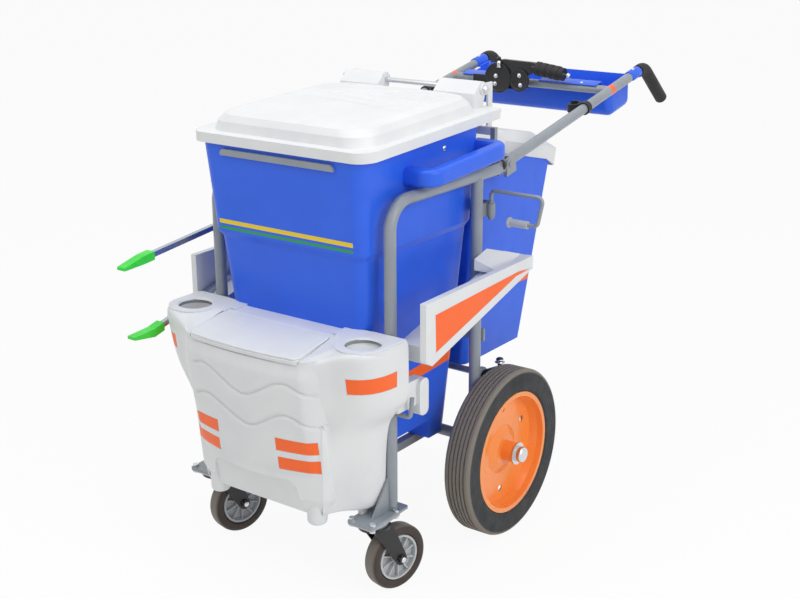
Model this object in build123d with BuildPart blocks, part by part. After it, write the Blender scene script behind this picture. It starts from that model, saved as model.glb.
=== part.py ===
"""Outdoor cleaning cart: a tube frame on two wheels and two casters, with bins, trays and a toolbox.

Millimetres. +Z is up, the toolbox end faces -Y and the push handle reaches towards +Y. The origin lies on
the floor under the middle of the rear axle. Right and left are those of someone facing the toolbox.
"""
import os
from math import atan2, cos, pi, radians, sin, sqrt

from build123d import *

os.makedirs("parts", exist_ok=True)

SIDES = (("right", 1), ("left", -1))
RUN = 0.05           # radial running clearance of a pin or shaft
GAP = 0.4            # clearance between faces of pieces that move past each other
SEAT = 0.3           # clearance between a piece and what it stands on

# Frame tubes
FRAME_HALF = 241     # centre line of the side tubes from the middle plane
TUBE_OD = 26.9
TUBE_WALL = 2.3
FRONT_LEG_Y = -381
REAR_LEG_Y = -51
RAIL_Z = 874
HOOP_BEND_R = 60
TUBE_R = TUBE_OD / 2

# Caster plates welded under the front legs
PLATE_TOP_Z = 191
PLATE_T = 6
PLATE_WIDTH = 68
PLATE_LENGTH = 136
PLATE_FRONT_Y = -488
GUSSET_T = 5
GUSSET_LENGTH = 58
GUSSET_HEIGHT = 76

# Casters
CASTER_IN = 8        # casters nearer to the middle than the side tubes
CASTER_X = FRAME_HALF - CASTER_IN
CASTER_Y = -434
CASTER_SWIVEL = -14  # swivel angle of both casters at rest
CASTER_TRAIL = 57
CASTER_WHEEL_D = 150
CASTER_WHEEL_W = 35
CASTER_CORE_D = 104
CASTER_BORE_R = 6
CASTER_MOUNT_T = 4
CASTER_MOUNT_LENGTH = 104
CASTER_BOLT_X = 55   # bolt spacing across the cart
CASTER_BOLT_Y = 84   # bolt spacing along the cart
CASTER_BOLT_R = 4
RACE_R = 31
RACE_H = 9
KINGPIN_R = 7
FORK_TOP_R = 36
FORK_TOP_T = 7
FORK_LEG_T = 4
FORK_SPACE = 3       # from a wheel's side to a fork leg
FORK_EYE_R = 15

# Rear wheels
WHEEL_D = 406
TYRE_W = 69
TYRE_CLEAR = 2.05    # from the legs to the tyres
TYRE_INNER_X = FRAME_HALF + TUBE_R + TYRE_CLEAR
TYRE_CROWN_R = 9
RIM_R = 140          # seat of the tyre
RIM_FLANGE_R = 148
RIM_SHEET = 3
HUB_R = 24
HUB_LENGTH = 70
AXLE_R = 10
AXLE_WASHER_R = 27
AXLE_CAP_R = 19
AXLE_CAP_L = 18
RIM_HOLE_R = 8
RIM_HOLE_AT = 102
RIM_HOLE_TURN = 28
GROOVE_COUNT = 5
GROOVE_W = 3.5
GROOVE_DEPTH = 4
GROOVE_STEP = 10

# Axle brackets on the rear legs
BRACKET_T = 8
BRACKET_R = 26
LEG_FOOT_Z = 150
AXLE_COLLAR_R = 16

# Cross tubes and bars that carry the main bin
CROSS_TUBE_Z = 238
CRADLE_BAR_X = 120
CRADLE_BAR_W = 20

# Main bin
BIN_FOOT_H = 48
BIN_WALL = 4.5
BIN_STEP_Z = 750     # ledge round the bin
BIN_STEP_H = 14
BIN_STEP_OUT = 8
BIN_RIM_Z = 1000     # height where the rim sizes hold, above the slanting cut
BIN_SIDE_CLEAR = 7.55 # from the side tubes to the rim
BIN_RIM_HALF = FRAME_HALF - TUBE_R - BIN_SIDE_CLEAR
BIN_STEP_IN = 17     # draw-in of the sides at the ledge and at the base
BIN_BASE_IN = 44
BIN_BASE_HALF = BIN_RIM_HALF - BIN_BASE_IN
BIN_BASE_FRONT = -372
BIN_BASE_REAR = -62
BIN_STEP_HALF = BIN_RIM_HALF - BIN_STEP_IN
BIN_STEP_FRONT = -424
BIN_STEP_REAR = -22
BIN_RIM_FRONT = -457
BIN_RIM_REAR = 2
BIN_CORNER_R = 30
BIN_RECESS_FRONT = -318
BIN_RECESS_REAR = -140
CARRY_FRONT = -300   # moulded carry handles on the bin's sides
CARRY_REAR = 8
CARRY_OUT = 53       # carry handles beyond the side tubes' centre lines
CARRY_OUT_X = FRAME_HALF + CARRY_OUT
CARRY_BAR = 32
CARRY_END = 36
CARRY_Z = 903        # underside at the middle of the handle
CARRY_H = 37
CARRY_CORNER_R = 40
CARRY_ROUND = 9
CARRY_TILT = 3.5
LIFT_BAR_HALF = 155
LIFT_BAR_H = 14
LIFT_BAR_T = 6
LIFT_BAR_Z = 943

# Main lid
LID_TILT = 2.7
LID_OVER = 23        # lid's sides beyond the bin's rim
LID_HALF = BIN_RIM_HALF + LID_OVER
LID_FRONT_Y = -461
LID_FRONT_Z = 966    # lower edge at the front
LID_LENGTH = 513
LID_FLANGE_H = 22
LID_CORNER_R = 42
LID_REAR_CORNER_R = 12
LID_REAR_CLEAR = 14  # lower edge cut away along the rear, to pass the bin's rim
LID_PANEL_H = 40
LID_PANEL_INSET = 24
LID_SHOULDER = ((0, 0, 58), (0.55, 6, 62), (0.86, 16, 68), (1, 36, 80))  # height share, draw-in, corner
LID_PANEL_REAR = 42  # from the lid's rear edge to the raised panel
LID_WALL = 4
LID_HINGE_IN = 9.43  # hinge line ahead of the lid's rear edge, and above it
LID_HINGE_UP = 60.83
LID_HINGE_Y = LID_FRONT_Y + LID_LENGTH * cos(radians(LID_TILT)) - LID_HINGE_IN
LID_HINGE_Z = LID_FRONT_Z + LID_LENGTH * sin(radians(LID_TILT)) + LID_HINGE_UP
KNUCKLE_R = 17
KNUCKLE_IN_X = 80
KNUCKLE_END = 51     # from the lid's side to the knuckle
KNUCKLE_OUT_X = LID_HALF - KNUCKLE_END
HINGE_ROD_R = 6

# Lid hinge stand on the frame
POST_W = 12
POST_IN = 18.5       # posts inside the side tubes' centre lines and behind the hinge line
POST_BACK = 3.5
POST_X = FRAME_HALF - POST_IN
POST_Y = LID_HINGE_Y + POST_BACK
RAIL_PAST_POST = 2.5
RAIL_END_Y = POST_Y + RAIL_PAST_POST
POST_TOP_Z = 966
HINGE_BAR_H = 18
EAR_T = 5
EAR_R = 13
EAR_W = 18
EAR_BACK = 16        # from the lid's rear edge to the middle of an ear's upright
ROD_NUT_R = 9
ROD_NUT_L = 9

# Rear bin, hung behind the rear legs
REAR_BASE_Z = 392
REAR_TOP_Z = 960
REAR_SIDE_CLEAR = 22.55 # from the side tubes to the rear bin's rim
REAR_TOP_HALF = FRAME_HALF - TUBE_R - REAR_SIDE_CLEAR
REAR_BASE_IN = 28    # draw-in of the sides at the base
REAR_BASE_HALF = REAR_TOP_HALF - REAR_BASE_IN
REAR_BASE_FRONT = 0
REAR_BASE_REAR = 262
REAR_TOP_FRONT = 22
REAR_TOP_REAR = 380
REAR_CORNER_R = 16
REAR_WALL = 4
REAR_RIM_Z = 915     # rim height at its front
REAR_SLANT = 13.2    # slope of the rim
BAR_H = 30           # flat bars the rear bin hangs on
BAR_T = 6
BAR_PAD = 2          # lower bar off the legs, on welded pads
UPPER_BAR_Z = 790
LOWER_BAR_Z = 495
HOOK_X = 120
HOOK_W = 40
HOOK_T = 3
HOOK_DROP = 60
REAR_DECK_Y = 80     # fixed front deck of the bin ends here and the lid begins
REAR_DECK_T = 5
REAR_LID_HALF = REAR_TOP_HALF
REAR_LID_REAR_Y = 373
REAR_LID_SKIRT = 30
REAR_LID_CROWN = 62
REAR_LID_SHOULDER = 150
REAR_LID_RISE = 70   # length of the slope from the hinge to the crown
REAR_LID_NOSE = 10
REAR_LID_FALL = 14   # rear lip below the rim
REAR_LID_LIP = 52    # length of the drooping rear end
REAR_LID_WALL = 4
REAR_LID_RIM = 17    # width of the edge that lies on the bin's rim
REAR_HINGE_R = 7
REAR_PIN_R = 3
REAR_KNUCKLE_X = 120
REAR_KNUCKLE_W = 50
REAR_EAR_T = 8

# Toolbox in front of the legs
BOX_TOP_Z = 591
BOX_SLOPE_Y = -450   # the top falls towards the front from here
BOX_SLOPE = 8.8
BOX_BASE_Z = 205
BOX_WAIST_Z = 462    # underside of the cup lobes
BOX_FRONT = -588     # middle of the bowed front at the top
BOX_FRONT_X = 151    # where the bowed front meets the corner
BOX_FRONT_Y = -579
BOX_SIDE = 199
BOX_SHRINK = 7       # taper from the top to the lobes' underside
BOX_TURN_X = 11      # middle and end of the round front corners
BOX_TURN_Y = 21
BOX_TURN_END = 80
WAVE_Z = (503, 432)  # wave grooves across the front
WAVE_RISE = 21
WAVE_PERIOD = 228
WAVE_PEAK_X = -107
WAVE_LEFT = -168
WAVE_RIGHT = 186
WAVE_COUNT = 4
WAVE_W = 9
WAVE_DEPTH = 4
LOBE_TOP_Z = 596
LOBE_X = 238         # cup lobes: rounded front about this point, straight outer side
LOBE_Y = -471
LOBE_R = 60
LOBE_LOWER = ((480, 255, -462, 35), (440, 215, -495, 28), (405, 185, -505, 20))  # height, x, y, radius
LOBE_ROOT_X = 140
LOBE_BACK_R = 11
CUP_R = 39
CUP_BASE = (249, -465, 33)
LEFT_CUP_DEPTH = 90
RIGHT_CUP_DEPTH = 14
BODY_SIZES = (       # height, half width, front at the corners and in the middle
    (530, 190, -550, -588),
    (245, 174, -534, -568),
    (205, 158, -522, -550),
)
BODY_CORNER = (9, 22, 6, 50)
BODY_WAIST_IN = 22
BODY_BACK_Y = -440
BACK_HALF = 209
BACK_FRONT = -452
BACK_CORNER_R = 28
BOX_WELL_HALF = 140
BOX_WELL_FRONT = -570
BOX_WELL_REAR = -462
BOX_WELL_SHRINK = 25
BOX_WELL_FLOOR_Z = 264 # above the deepest part of the recessed panel
BOX_WELL_R = 20
BOX_HOLLOW_FLOOR_Z = 225
BOX_HOLLOW_HALF = 180
BOX_HOLLOW_DEPTH = 50
BOX_FOOT_X = 142
BOX_FOOT_Y = -516
BOX_FOOT_R = 22
BOX_FOOT_ROUND = 9
BOX_FOOT_H = 24
BOX_LID_HALF = 152
BOX_LID_REAR = -449
BOX_LID_OVER = 3     # lid's front edge beyond the box's front
BOX_LID_T = 9
BOX_LID_PROUD = 3
BOX_LID_GAP = 1
BOX_LID_CORNER_R = 14
BOX_LID_ROUND = 2.5
BOX_PIN_R = 2.5
BOX_PIN_L = 14
BOX_PANEL_HALF = 116 # recessed panel low on the front
BOX_PANEL_FLARE = 14
BOX_PANEL_TOP = 287
BOX_PANEL_UP_Y = -557 # leaning face of the recess at its top and at the base
BOX_PANEL_LOW_Y = -530
BOX_PANEL_R = 26
BOX_LUG_CLEAR = 2.55 # from the front legs to the lugs that reach back past them
BOX_LUG_T = 33
BOX_LUG_ARM_T = 23
BOX_LUG_IN = FRAME_HALF + TUBE_R + BOX_LUG_CLEAR
BOX_LUG_OUT = BOX_LUG_IN + BOX_LUG_T
BOX_LUG_ARM_OUT = BOX_LUG_IN + BOX_LUG_ARM_T
BOX_LUG_Z = 404
BOX_LUG_TOP = 488
BOX_LUG_ARM_Z = 430
BOX_LUG_FRONT = -343
BOX_LUG_REAR = -310
BOX_LUG_R = 14

# Side wings
WING_REACH = 77.5    # from the side tubes' centre lines to the outer panel
WING_PANEL_X = FRAME_HALF + WING_REACH
WING_PANEL_T = 15
WING_FRONT = -383
WING_REAR = 46
WING_TOP = 675       # at the front
WING_TOP_RISE = 6
WING_FRONT_LOW = 548
WING_TOE_Y = -360
WING_TOE_Z = 535
WING_REAR_LOW = 651
WING_FLOOR_Y = -366
WING_FLOOR_Z = 574   # floor at its front edge
WING_FLOOR_RISE = 106
SHOULDER = ((-80, 663), (-80, 689), (-28, 702), (-28, 655))  # raised root of the wing beside the rear leg
SHOULDER_SLOT = 18.5 # from the shoulder to the outer panel
SHOULDER_OUT_X = WING_PANEL_X - SHOULDER_SLOT
SHOULDER_OUT_Y = -45

# Tool hooks on the front legs
TOOL_HOOK_R = 5
TOOL_HOOK_Z = 416
TOOL_HOOK_REACH = 51
TOOL_HOOK_X = FRAME_HALF + TOOL_HOOK_REACH
TOOL_HOOK_UP = 46

# Push handle
HANDLE_OD = 25
HANDLE_WALL = 2
HANDLE_SLOPE = 11.3
FOLD_BACK = 18       # fold pin behind the rails' ends
HANDLE_START_Y = RAIL_END_Y + FOLD_BACK
HANDLE_START_Z = 882
HANDLE_LENGTH = 716  # along the tube to the virtual corner of the grip bend
GRIP_LENGTH = 148    # from that corner to the tube's end
GRIP_FALL = 39       # slope of the grip below level
GRIP_BEND_R = 48
GRIP_OD = 33
GRIP_COVER = 34      # how far the grip reaches along the straight tube from the corner
GRIP_END = 5
CROSSBAR_OD = 22
FOLD_AT = 0          # fold pin along the tube's line
FOLD_PIN_R = 4
FOLD_EYE_R = 13.5
TONGUE_T = 12
TONGUE_R = 10
STOP_T = 4
HANDLE_TUBE_AT = 12  # tube's end along its own line
SADDLE_END = 24
SADDLE_DROP = 25
SADDLE_T = 2
TRAY_IN = 19         # tray's sides inside the tubes' centre lines
TRAY_HALF = FRAME_HALF - TRAY_IN
TRAY_TO_GRIP = 38    # from the tray's rear edge to the corner of the grip bend, along the tube
TRAY_LENGTH = 133
TRAY_LEAN_FRONT = 11
TRAY_LEAN_REAR = 12
TRAY_REAR = HANDLE_LENGTH - TRAY_TO_GRIP
TRAY_FRONT = TRAY_REAR - TRAY_LENGTH
TRAY_BASE_FRONT = TRAY_FRONT + TRAY_LEAN_FRONT
TRAY_BASE_REAR = TRAY_REAR - TRAY_LEAN_REAR
CROSSBAR_LEAD = 23   # crossbar ahead of the tray
CROSSBAR_AT = TRAY_FRONT - CROSSBAR_LEAD
TRAY_DEPTH = 89
TRAY_RIM = 8         # rim below the tubes' centre line
TRAY_WALL = 4
TRAY_TAB_L = 56
TRAY_TAB_FRONT = TRAY_REAR - TRAY_TAB_L
TRAY_TAB_T = 3
TRAY_FLANGE_X = 150
TRAY_FLANGE_W = 44
CLIP_LEAD = 136      # spring clips ahead of the crossbar
CLIP_AT = CROSSBAR_AT - CLIP_LEAD
CLIP_W = 22
CLIP_STRAP_W = 16
CLIP_T = 4
CLIP_JAW_R = 14
CLIP_MOUTH = 20

# Brake lever on the crossbar
LEVER_X = -81        # lever's pivot, in the middle of the ratchet plate
LEVER_RISE = 3       # pivot above the crossbar's centre line
CLAMP_T = 3
RATCHET_R = 34
RATCHET_T = 5
RATCHET_TAB_X = -164
RATCHET_TAB_H = 22
RATCHET_STAND = 6    # from the crossbar to the ratchet plate
LINK_X = -12         # second lug of the ratchet plate
LINK_R = 20
LEVER_T = 14
LEVER_EYE_R = 24
LEVER_NECK_X = 27    # where the grip begins
LEVER_GRIP_X = 121
LEVER_GRIP_Z = 42.7  # heights above the pivot
LEVER_GRIP_END_Z = 31.7
LEVER_GRIP_R = 17
LEVER_BAR_R = 9
LEVER_TOP_X = -62
LEVER_TOP_Z = 44.7
LEVER_TOP_R = 14
LEVER_PIVOT_R = 6
KNOB_R = 6
KNOB_X = -78
KNOB_Z = 58.7
BUTTON_R = 6
BUTTON_ROD_R = 3.5
BUTTON_ROD_L = 40
BUTTON_STROKE = 6

# Tyre brake
BRAKE_SHAFT_R = 8
BRAKE_SHAFT_Y = -18
BRAKE_SHAFT_Z = 392
BRAKE_ARM_T = 5
BRAKE_ARM_R = 10
SHOE_L = 40
SHOE_W = 40
SHOE_T = 8
SHOE_CLEAR = 7.5       # from shoe to tyre with the brake off
SHOE_ANGLE = 68      # shoe behind the tyre's top
SHOE_BAR_W = 6       # radius of the cross bar behind each shoe
BRAKE_STUD_R = 5
BRAKE_STUD_Y = 50
BRAKE_STUD_Z = 382   # foot and top of the stud on each arm
BRAKE_STUD_TOP = 412
BRAKE_NUT_R = 9

# Swing arm on the right rear leg
ARM_WIRE_R = 4.5
ARM_REACH = 135
ARM_TOP_Z = 834
ARM_FOOT_Z = 766
ARM_BEND_R = 12
ARM_LEAN = 14        # lower corner of the loop nearer to the leg
ARM_PIVOT_Y = -11
ARM_PIVOT_OUT = 13
ARM_PIVOT_X = FRAME_HALF + ARM_PIVOT_OUT
SLEEVE_R = 9
SLEEVE_L = 58
SLEEVE_Z = 767
SLEEVE_FLANGE_R = 12
SLEEVE_FLANGE_T = 4

# Litter tongs lying in the left wing
TONGS_REACH = 67
TONGS_X = -FRAME_HALF - TONGS_REACH
TONGS_PIVOT_Y = 447
TONGS_PIVOT_Z = 803
TONGS_FRONT_Y = -545 # ends of the lower arm, which follows the wing's floor
TONGS_END_Y = 425
TONGS_UPPER = ((-561, 709), (423, 813.5))     # centre line of the upper arm
TONGS_BAR = 12
TONGS_EYE_R = 13
TONGS_CHEEK_T = 3
TONGS_PIN_R = 4
JAW_LENGTH = 60
JAW_SOCKET = 30
JAW_W = 24
JAW_T = 19
JAW_TIP_T = 7
JAW_UPPER_DIP = 4.4  # slope of the jaws towards their tips
JAW_LOWER_DIP = -1


def save(piece, name):
    """Label a finished piece and write its file."""
    piece.part.label = name
    export_step(piece.part, f"parts/{name}.step")


def ring(outer_r, wall):
    """Section of a tube in the sketch that is open."""
    Circle(outer_r)
    Circle(outer_r - wall, mode=Mode.SUBTRACT)


def lerp(a, b, t):
    """Value a share t of the way from a to b."""
    return a + (b - a) * t


# Side hoops: front leg, bend and top rail in one tube, with a cap and the fold hinge's tongue on its end
SLOPE = radians(HANDLE_SLOPE)
FOLD_Y = HANDLE_START_Y + FOLD_AT * cos(SLOPE)
FOLD_Z = HANDLE_START_Z + FOLD_AT * sin(SLOPE)
for side, sign in SIDES:
    with BuildPart() as side_hoop:
        with BuildLine(Plane.YZ.offset(sign * FRAME_HALF)):
            FilletPolyline(
                (FRONT_LEG_Y, PLATE_TOP_Z),
                (FRONT_LEG_Y, RAIL_Z),
                (RAIL_END_Y, RAIL_Z),
                radius=HOOP_BEND_R,
            )
        with BuildSketch(Plane.XY.offset(PLATE_TOP_Z)):
            with Locations((sign * FRAME_HALF, FRONT_LEG_Y)):
                ring(TUBE_R, TUBE_WALL)
        sweep()
        with BuildSketch(Plane.XZ.offset(-RAIL_END_Y)):
            with Locations((sign * FRAME_HALF, RAIL_Z)):
                Circle(TUBE_R)
        extrude(amount=-STOP_T)
        with BuildSketch(Plane.YZ.offset(sign * FRAME_HALF)):
            with Locations((FOLD_Y, FOLD_Z), (RAIL_END_Y, RAIL_Z)):
                Circle(TONGUE_R)
            make_hull()
            with Locations((FOLD_Y, FOLD_Z)):
                Circle(FOLD_PIN_R, mode=Mode.SUBTRACT)
        extrude(amount=TONGUE_T / 2, both=True)
    save(side_hoop, f"side_hoop_{side}")

SADDLE_HALF = HANDLE_OD / 2 + SADDLE_T
with BuildPart() as fold_pins:
    for side, sign in SIDES:
        span = SADDLE_HALF + GAP
        for x, length, r in (
            (-span, 2 * span, FOLD_PIN_R),
            (-span - FOLD_PIN_R / 2, FOLD_PIN_R / 2, 1.6 * FOLD_PIN_R),
            (span, FOLD_PIN_R / 2, 1.6 * FOLD_PIN_R),
        ):
            with BuildSketch(Plane.YZ.offset(sign * FRAME_HALF + x)):
                with Locations((FOLD_Y, FOLD_Z)):
                    Circle(r)
            extrude(amount=length)
save(fold_pins, "fold_pins")


def rear_front(z):
    """Y of the rear bin's front wall at height z."""
    return lerp(REAR_BASE_FRONT, REAR_TOP_FRONT, (z - REAR_BASE_Z) / (REAR_TOP_Z - REAR_BASE_Z))


# Rear legs with the axle brackets, the brake shaft's eyes and the brackets of the rear bin's bars
AXLE_Z = WHEEL_D / 2
BAR_SPAN = FRAME_HALF - BRACKET_T / 2
HOOK_TOP = UPPER_BAR_Z + BAR_H / 2 + SEAT + HOOK_T
UPPER_BAR_Y = rear_front(HOOK_TOP - HOOK_DROP) - SEAT - HOOK_T - SEAT - BAR_T
LOWER_BAR_Y = REAR_LEG_Y + TUBE_R + BAR_PAD
for side, sign in SIDES:
    with BuildPart() as rear_leg:
        with BuildSketch(Plane.XY.offset(LEG_FOOT_Z)):
            with Locations((sign * FRAME_HALF, REAR_LEG_Y)):
                Circle(TUBE_R)
        extrude(amount=RAIL_Z - LEG_FOOT_Z)
        with BuildSketch(Plane.YZ.offset(sign * FRAME_HALF)):
            with Locations((0, AXLE_Z)):
                Circle(BRACKET_R)
            with Locations((REAR_LEG_Y, AXLE_Z)):
                Rectangle(TUBE_R, 3 * BRACKET_R)
            make_hull()
        extrude(amount=BRACKET_T / 2, both=True)
        with BuildSketch(Plane.YZ.offset(sign * FRAME_HALF)):
            with Locations((BRAKE_SHAFT_Y, BRAKE_SHAFT_Z)):
                Circle(2 * BRAKE_SHAFT_R)
            with Locations((REAR_LEG_Y, BRAKE_SHAFT_Z)):
                Rectangle(TUBE_R, 4 * BRAKE_SHAFT_R)
            make_hull()
        extrude(amount=BRACKET_T / 2, both=True)
        with BuildSketch(Plane.YZ.offset(sign * FRAME_HALF)):
            with Locations(((REAR_LEG_Y + UPPER_BAR_Y + BAR_T) / 2, UPPER_BAR_Z)):
                Rectangle(UPPER_BAR_Y + BAR_T - REAR_LEG_Y, BAR_H)
        extrude(amount=BRACKET_T / 2, both=True)
        with BuildSketch(Plane.YZ.offset(sign * FRAME_HALF)):
            with Locations(((REAR_LEG_Y + LOWER_BAR_Y) / 2, LOWER_BAR_Z)):
                Rectangle(LOWER_BAR_Y - REAR_LEG_Y, BAR_H)
        extrude(amount=TUBE_R / 2, both=True)
        with BuildSketch(Plane.XY.offset(LEG_FOOT_Z)):
            with Locations((sign * FRAME_HALF, REAR_LEG_Y)):
                Circle(TUBE_R - TUBE_WALL)
        extrude(amount=RAIL_Z - LEG_FOOT_Z, mode=Mode.SUBTRACT)
        with BuildSketch(Plane.XZ.offset(-REAR_LEG_Y - TUBE_OD)):
            with Locations((sign * FRAME_HALF, RAIL_Z)):
                Circle(TUBE_R)
        extrude(amount=2 * TUBE_OD, mode=Mode.SUBTRACT)
        if side == "right":
            with BuildSketch(Plane.XY.offset(UPPER_BAR_Z - BAR_H / 2)):
                with Locations((ARM_PIVOT_X, ARM_PIVOT_Y)):
                    Circle(2 * ARM_WIRE_R)
                with Locations(((FRAME_HALF + ARM_PIVOT_X) / 2, ARM_PIVOT_Y)):
                    Rectangle(ARM_PIVOT_X - FRAME_HALF, 3 * ARM_WIRE_R)
                with Locations((ARM_PIVOT_X, ARM_PIVOT_Y)):
                    Circle(ARM_WIRE_R + RUN, mode=Mode.SUBTRACT)
            extrude(amount=BAR_H)
        for y, z, r in ((0, AXLE_Z, AXLE_R), (BRAKE_SHAFT_Y, BRAKE_SHAFT_Z, BRAKE_SHAFT_R + RUN)):
            with BuildSketch(Plane.YZ.offset(sign * FRAME_HALF)):
                with Locations((y, z)):
                    Circle(r)
            extrude(amount=BRACKET_T, both=True, mode=Mode.SUBTRACT)
    save(rear_leg, f"rear_leg_{side}")

with BuildPart() as rear_bin_bars:
    for bar_y, bar_z, half in (
        (UPPER_BAR_Y, UPPER_BAR_Z, BAR_SPAN),
        (LOWER_BAR_Y, LOWER_BAR_Z, FRAME_HALF + TUBE_R),
    ):
        with Locations((0, bar_y + BAR_T / 2, bar_z)):
            Box(2 * half, BAR_T, BAR_H)
save(rear_bin_bars, "rear_bin_bars")

# Caster plates with their gussets
PLATE_MID_Y = PLATE_FRONT_Y + PLATE_LENGTH / 2
BOLT_PATTERN = [
    (x * CASTER_BOLT_X / 2, CASTER_Y + y * CASTER_BOLT_Y / 2) for x in (-1, 1) for y in (-1, 1)
]
for side, sign in SIDES:
    with BuildPart() as caster_plate:
        with BuildSketch(Plane.XY.offset(PLATE_TOP_Z - PLATE_T)):
            with Locations((sign * CASTER_X, PLATE_MID_Y)):
                RectangleRounded(PLATE_WIDTH, PLATE_LENGTH, PLATE_T)
            with Locations([(sign * CASTER_X + x, y) for x, y in BOLT_PATTERN]):
                Circle(CASTER_BOLT_R + GAP, mode=Mode.SUBTRACT)
        extrude(amount=PLATE_T)
        with BuildSketch(Plane.YZ.offset(sign * FRAME_HALF)):
            with BuildLine():
                Polyline(
                    (FRONT_LEG_Y, PLATE_TOP_Z),
                    (FRONT_LEG_Y - TUBE_R - GUSSET_LENGTH, PLATE_TOP_Z),
                    (FRONT_LEG_Y - TUBE_R, PLATE_TOP_Z + GUSSET_HEIGHT),
                    (FRONT_LEG_Y, PLATE_TOP_Z + GUSSET_HEIGHT),
                    close=True,
                )
            make_face()
        extrude(amount=GUSSET_T / 2, both=True)
        with BuildSketch(Plane.XY.offset(PLATE_TOP_Z)):
            with Locations((sign * FRAME_HALF, FRONT_LEG_Y)):
                Circle(TUBE_R)
        extrude(amount=2 * GUSSET_HEIGHT, mode=Mode.SUBTRACT)
    save(caster_plate, f"caster_plate_{side}")

# Cross tubes between the legs, and the bars across them that the main bin stands on
for name, leg_y in (("front_cross_tube", FRONT_LEG_Y), ("rear_cross_tube", REAR_LEG_Y)):
    with BuildPart() as cross_tube:
        with BuildSketch(Plane.YZ.offset(-BAR_SPAN)):
            with Locations((leg_y, CROSS_TUBE_Z)):
                ring(TUBE_R, TUBE_WALL)
        extrude(amount=2 * BAR_SPAN)
        with BuildSketch(Plane.XY.offset(CROSS_TUBE_Z - TUBE_OD)):
            with Locations((FRAME_HALF, leg_y), (-FRAME_HALF, leg_y)):
                Circle(TUBE_R)
        extrude(amount=2 * TUBE_OD, mode=Mode.SUBTRACT)
    save(cross_tube, name)

CRADLE_TOP = CROSS_TUBE_Z + CRADLE_BAR_W / 2
with BuildPart() as cradle_bars:
    with Locations((CRADLE_BAR_X, 0), (-CRADLE_BAR_X, 0)):
        with Locations((0, (FRONT_LEG_Y + REAR_LEG_Y) / 2, CROSS_TUBE_Z)):
            Box(CRADLE_BAR_W, REAR_LEG_Y - FRONT_LEG_Y, CRADLE_BAR_W)
    with BuildSketch(Plane.YZ.offset(-FRAME_HALF)):
        with Locations((FRONT_LEG_Y, CROSS_TUBE_Z), (REAR_LEG_Y, CROSS_TUBE_Z)):
            Circle(TUBE_R)
    extrude(amount=2 * FRAME_HALF, mode=Mode.SUBTRACT)
save(cradle_bars, "cradle_bars")

# Tool hooks: bent rods welded to the front legs
with BuildPart() as tool_hooks:
    for side, sign in SIDES:
        with BuildLine(Plane.XZ.offset(-FRONT_LEG_Y)):
            FilletPolyline(
                (sign * FRAME_HALF, TOOL_HOOK_Z),
                (sign * TOOL_HOOK_X, TOOL_HOOK_Z),
                (sign * (TOOL_HOOK_X + TOOL_HOOK_R), TOOL_HOOK_Z + TOOL_HOOK_UP),
                radius=2 * TOOL_HOOK_R,
            )
        with BuildSketch(Plane.YZ.offset(sign * FRAME_HALF)):
            with Locations((FRONT_LEG_Y, TOOL_HOOK_Z)):
                Circle(TOOL_HOOK_R)
        sweep()
    with BuildSketch(Plane.XY.offset(TOOL_HOOK_Z - TUBE_OD)):
        with Locations((FRAME_HALF, FRONT_LEG_Y), (-FRAME_HALF, FRONT_LEG_Y)):
            Circle(TUBE_R)
    extrude(amount=2 * TUBE_OD, mode=Mode.SUBTRACT)
save(tool_hooks, "tool_hooks")

# Casters: the bolted mounts with their races and kingpins, then the swivelling forks and their wheels
MOUNT_TOP = PLATE_TOP_Z - PLATE_T
RACE_Z = MOUNT_TOP - CASTER_MOUNT_T - RACE_H
FORK_Z = RACE_Z - GAP - FORK_TOP_T
CASTER_AXLE_Z = CASTER_WHEEL_D / 2
FORK_IN = CASTER_WHEEL_W / 2 + FORK_SPACE
with BuildPart() as caster_mounts:
    for side, sign in SIDES:
        with BuildSketch(Plane.XY.offset(MOUNT_TOP - CASTER_MOUNT_T)):
            with Locations((sign * CASTER_X, CASTER_Y)):
                RectangleRounded(PLATE_WIDTH, CASTER_MOUNT_LENGTH, PLATE_T)
            with Locations([(sign * CASTER_X + x, y) for x, y in BOLT_PATTERN]):
                Circle(CASTER_BOLT_R + GAP, mode=Mode.SUBTRACT)
        extrude(amount=CASTER_MOUNT_T)
        for z, h, r in (
            (RACE_Z, RACE_H, RACE_R),
            (FORK_Z - GAP, FORK_TOP_T + 2 * GAP, KINGPIN_R),
            (FORK_Z - GAP - KINGPIN_R, KINGPIN_R, 2 * KINGPIN_R),
        ):
            with BuildSketch(Plane.XY.offset(z)):
                with Locations((sign * CASTER_X, CASTER_Y)):
                    Circle(r)
            extrude(amount=h)
save(caster_mounts, "caster_mounts")

BOLT_GRIP = PLATE_T + CASTER_MOUNT_T
with BuildPart() as caster_bolts:
    for side, sign in SIDES:
        for z, h, r in (
            (MOUNT_TOP - CASTER_MOUNT_T - 1.6 * CASTER_BOLT_R, BOLT_GRIP + 1.6 * CASTER_BOLT_R, 1),
            (PLATE_TOP_Z, 1.3 * CASTER_BOLT_R, 1.75),
        ):
            with BuildSketch(Plane.XY.offset(z)):
                with Locations([(sign * CASTER_X + x, y) for x, y in BOLT_PATTERN]):
                    Circle(r * CASTER_BOLT_R)
            extrude(amount=h)
        with BuildSketch(Plane.XY.offset(MOUNT_TOP - CASTER_MOUNT_T - 1.2 * CASTER_BOLT_R)):
            with Locations([(sign * CASTER_X + x, y) for x, y in BOLT_PATTERN]):
                RegularPolygon(1.8 * CASTER_BOLT_R, 6)
        extrude(amount=1.2 * CASTER_BOLT_R)
save(caster_bolts, "caster_bolts")

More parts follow.
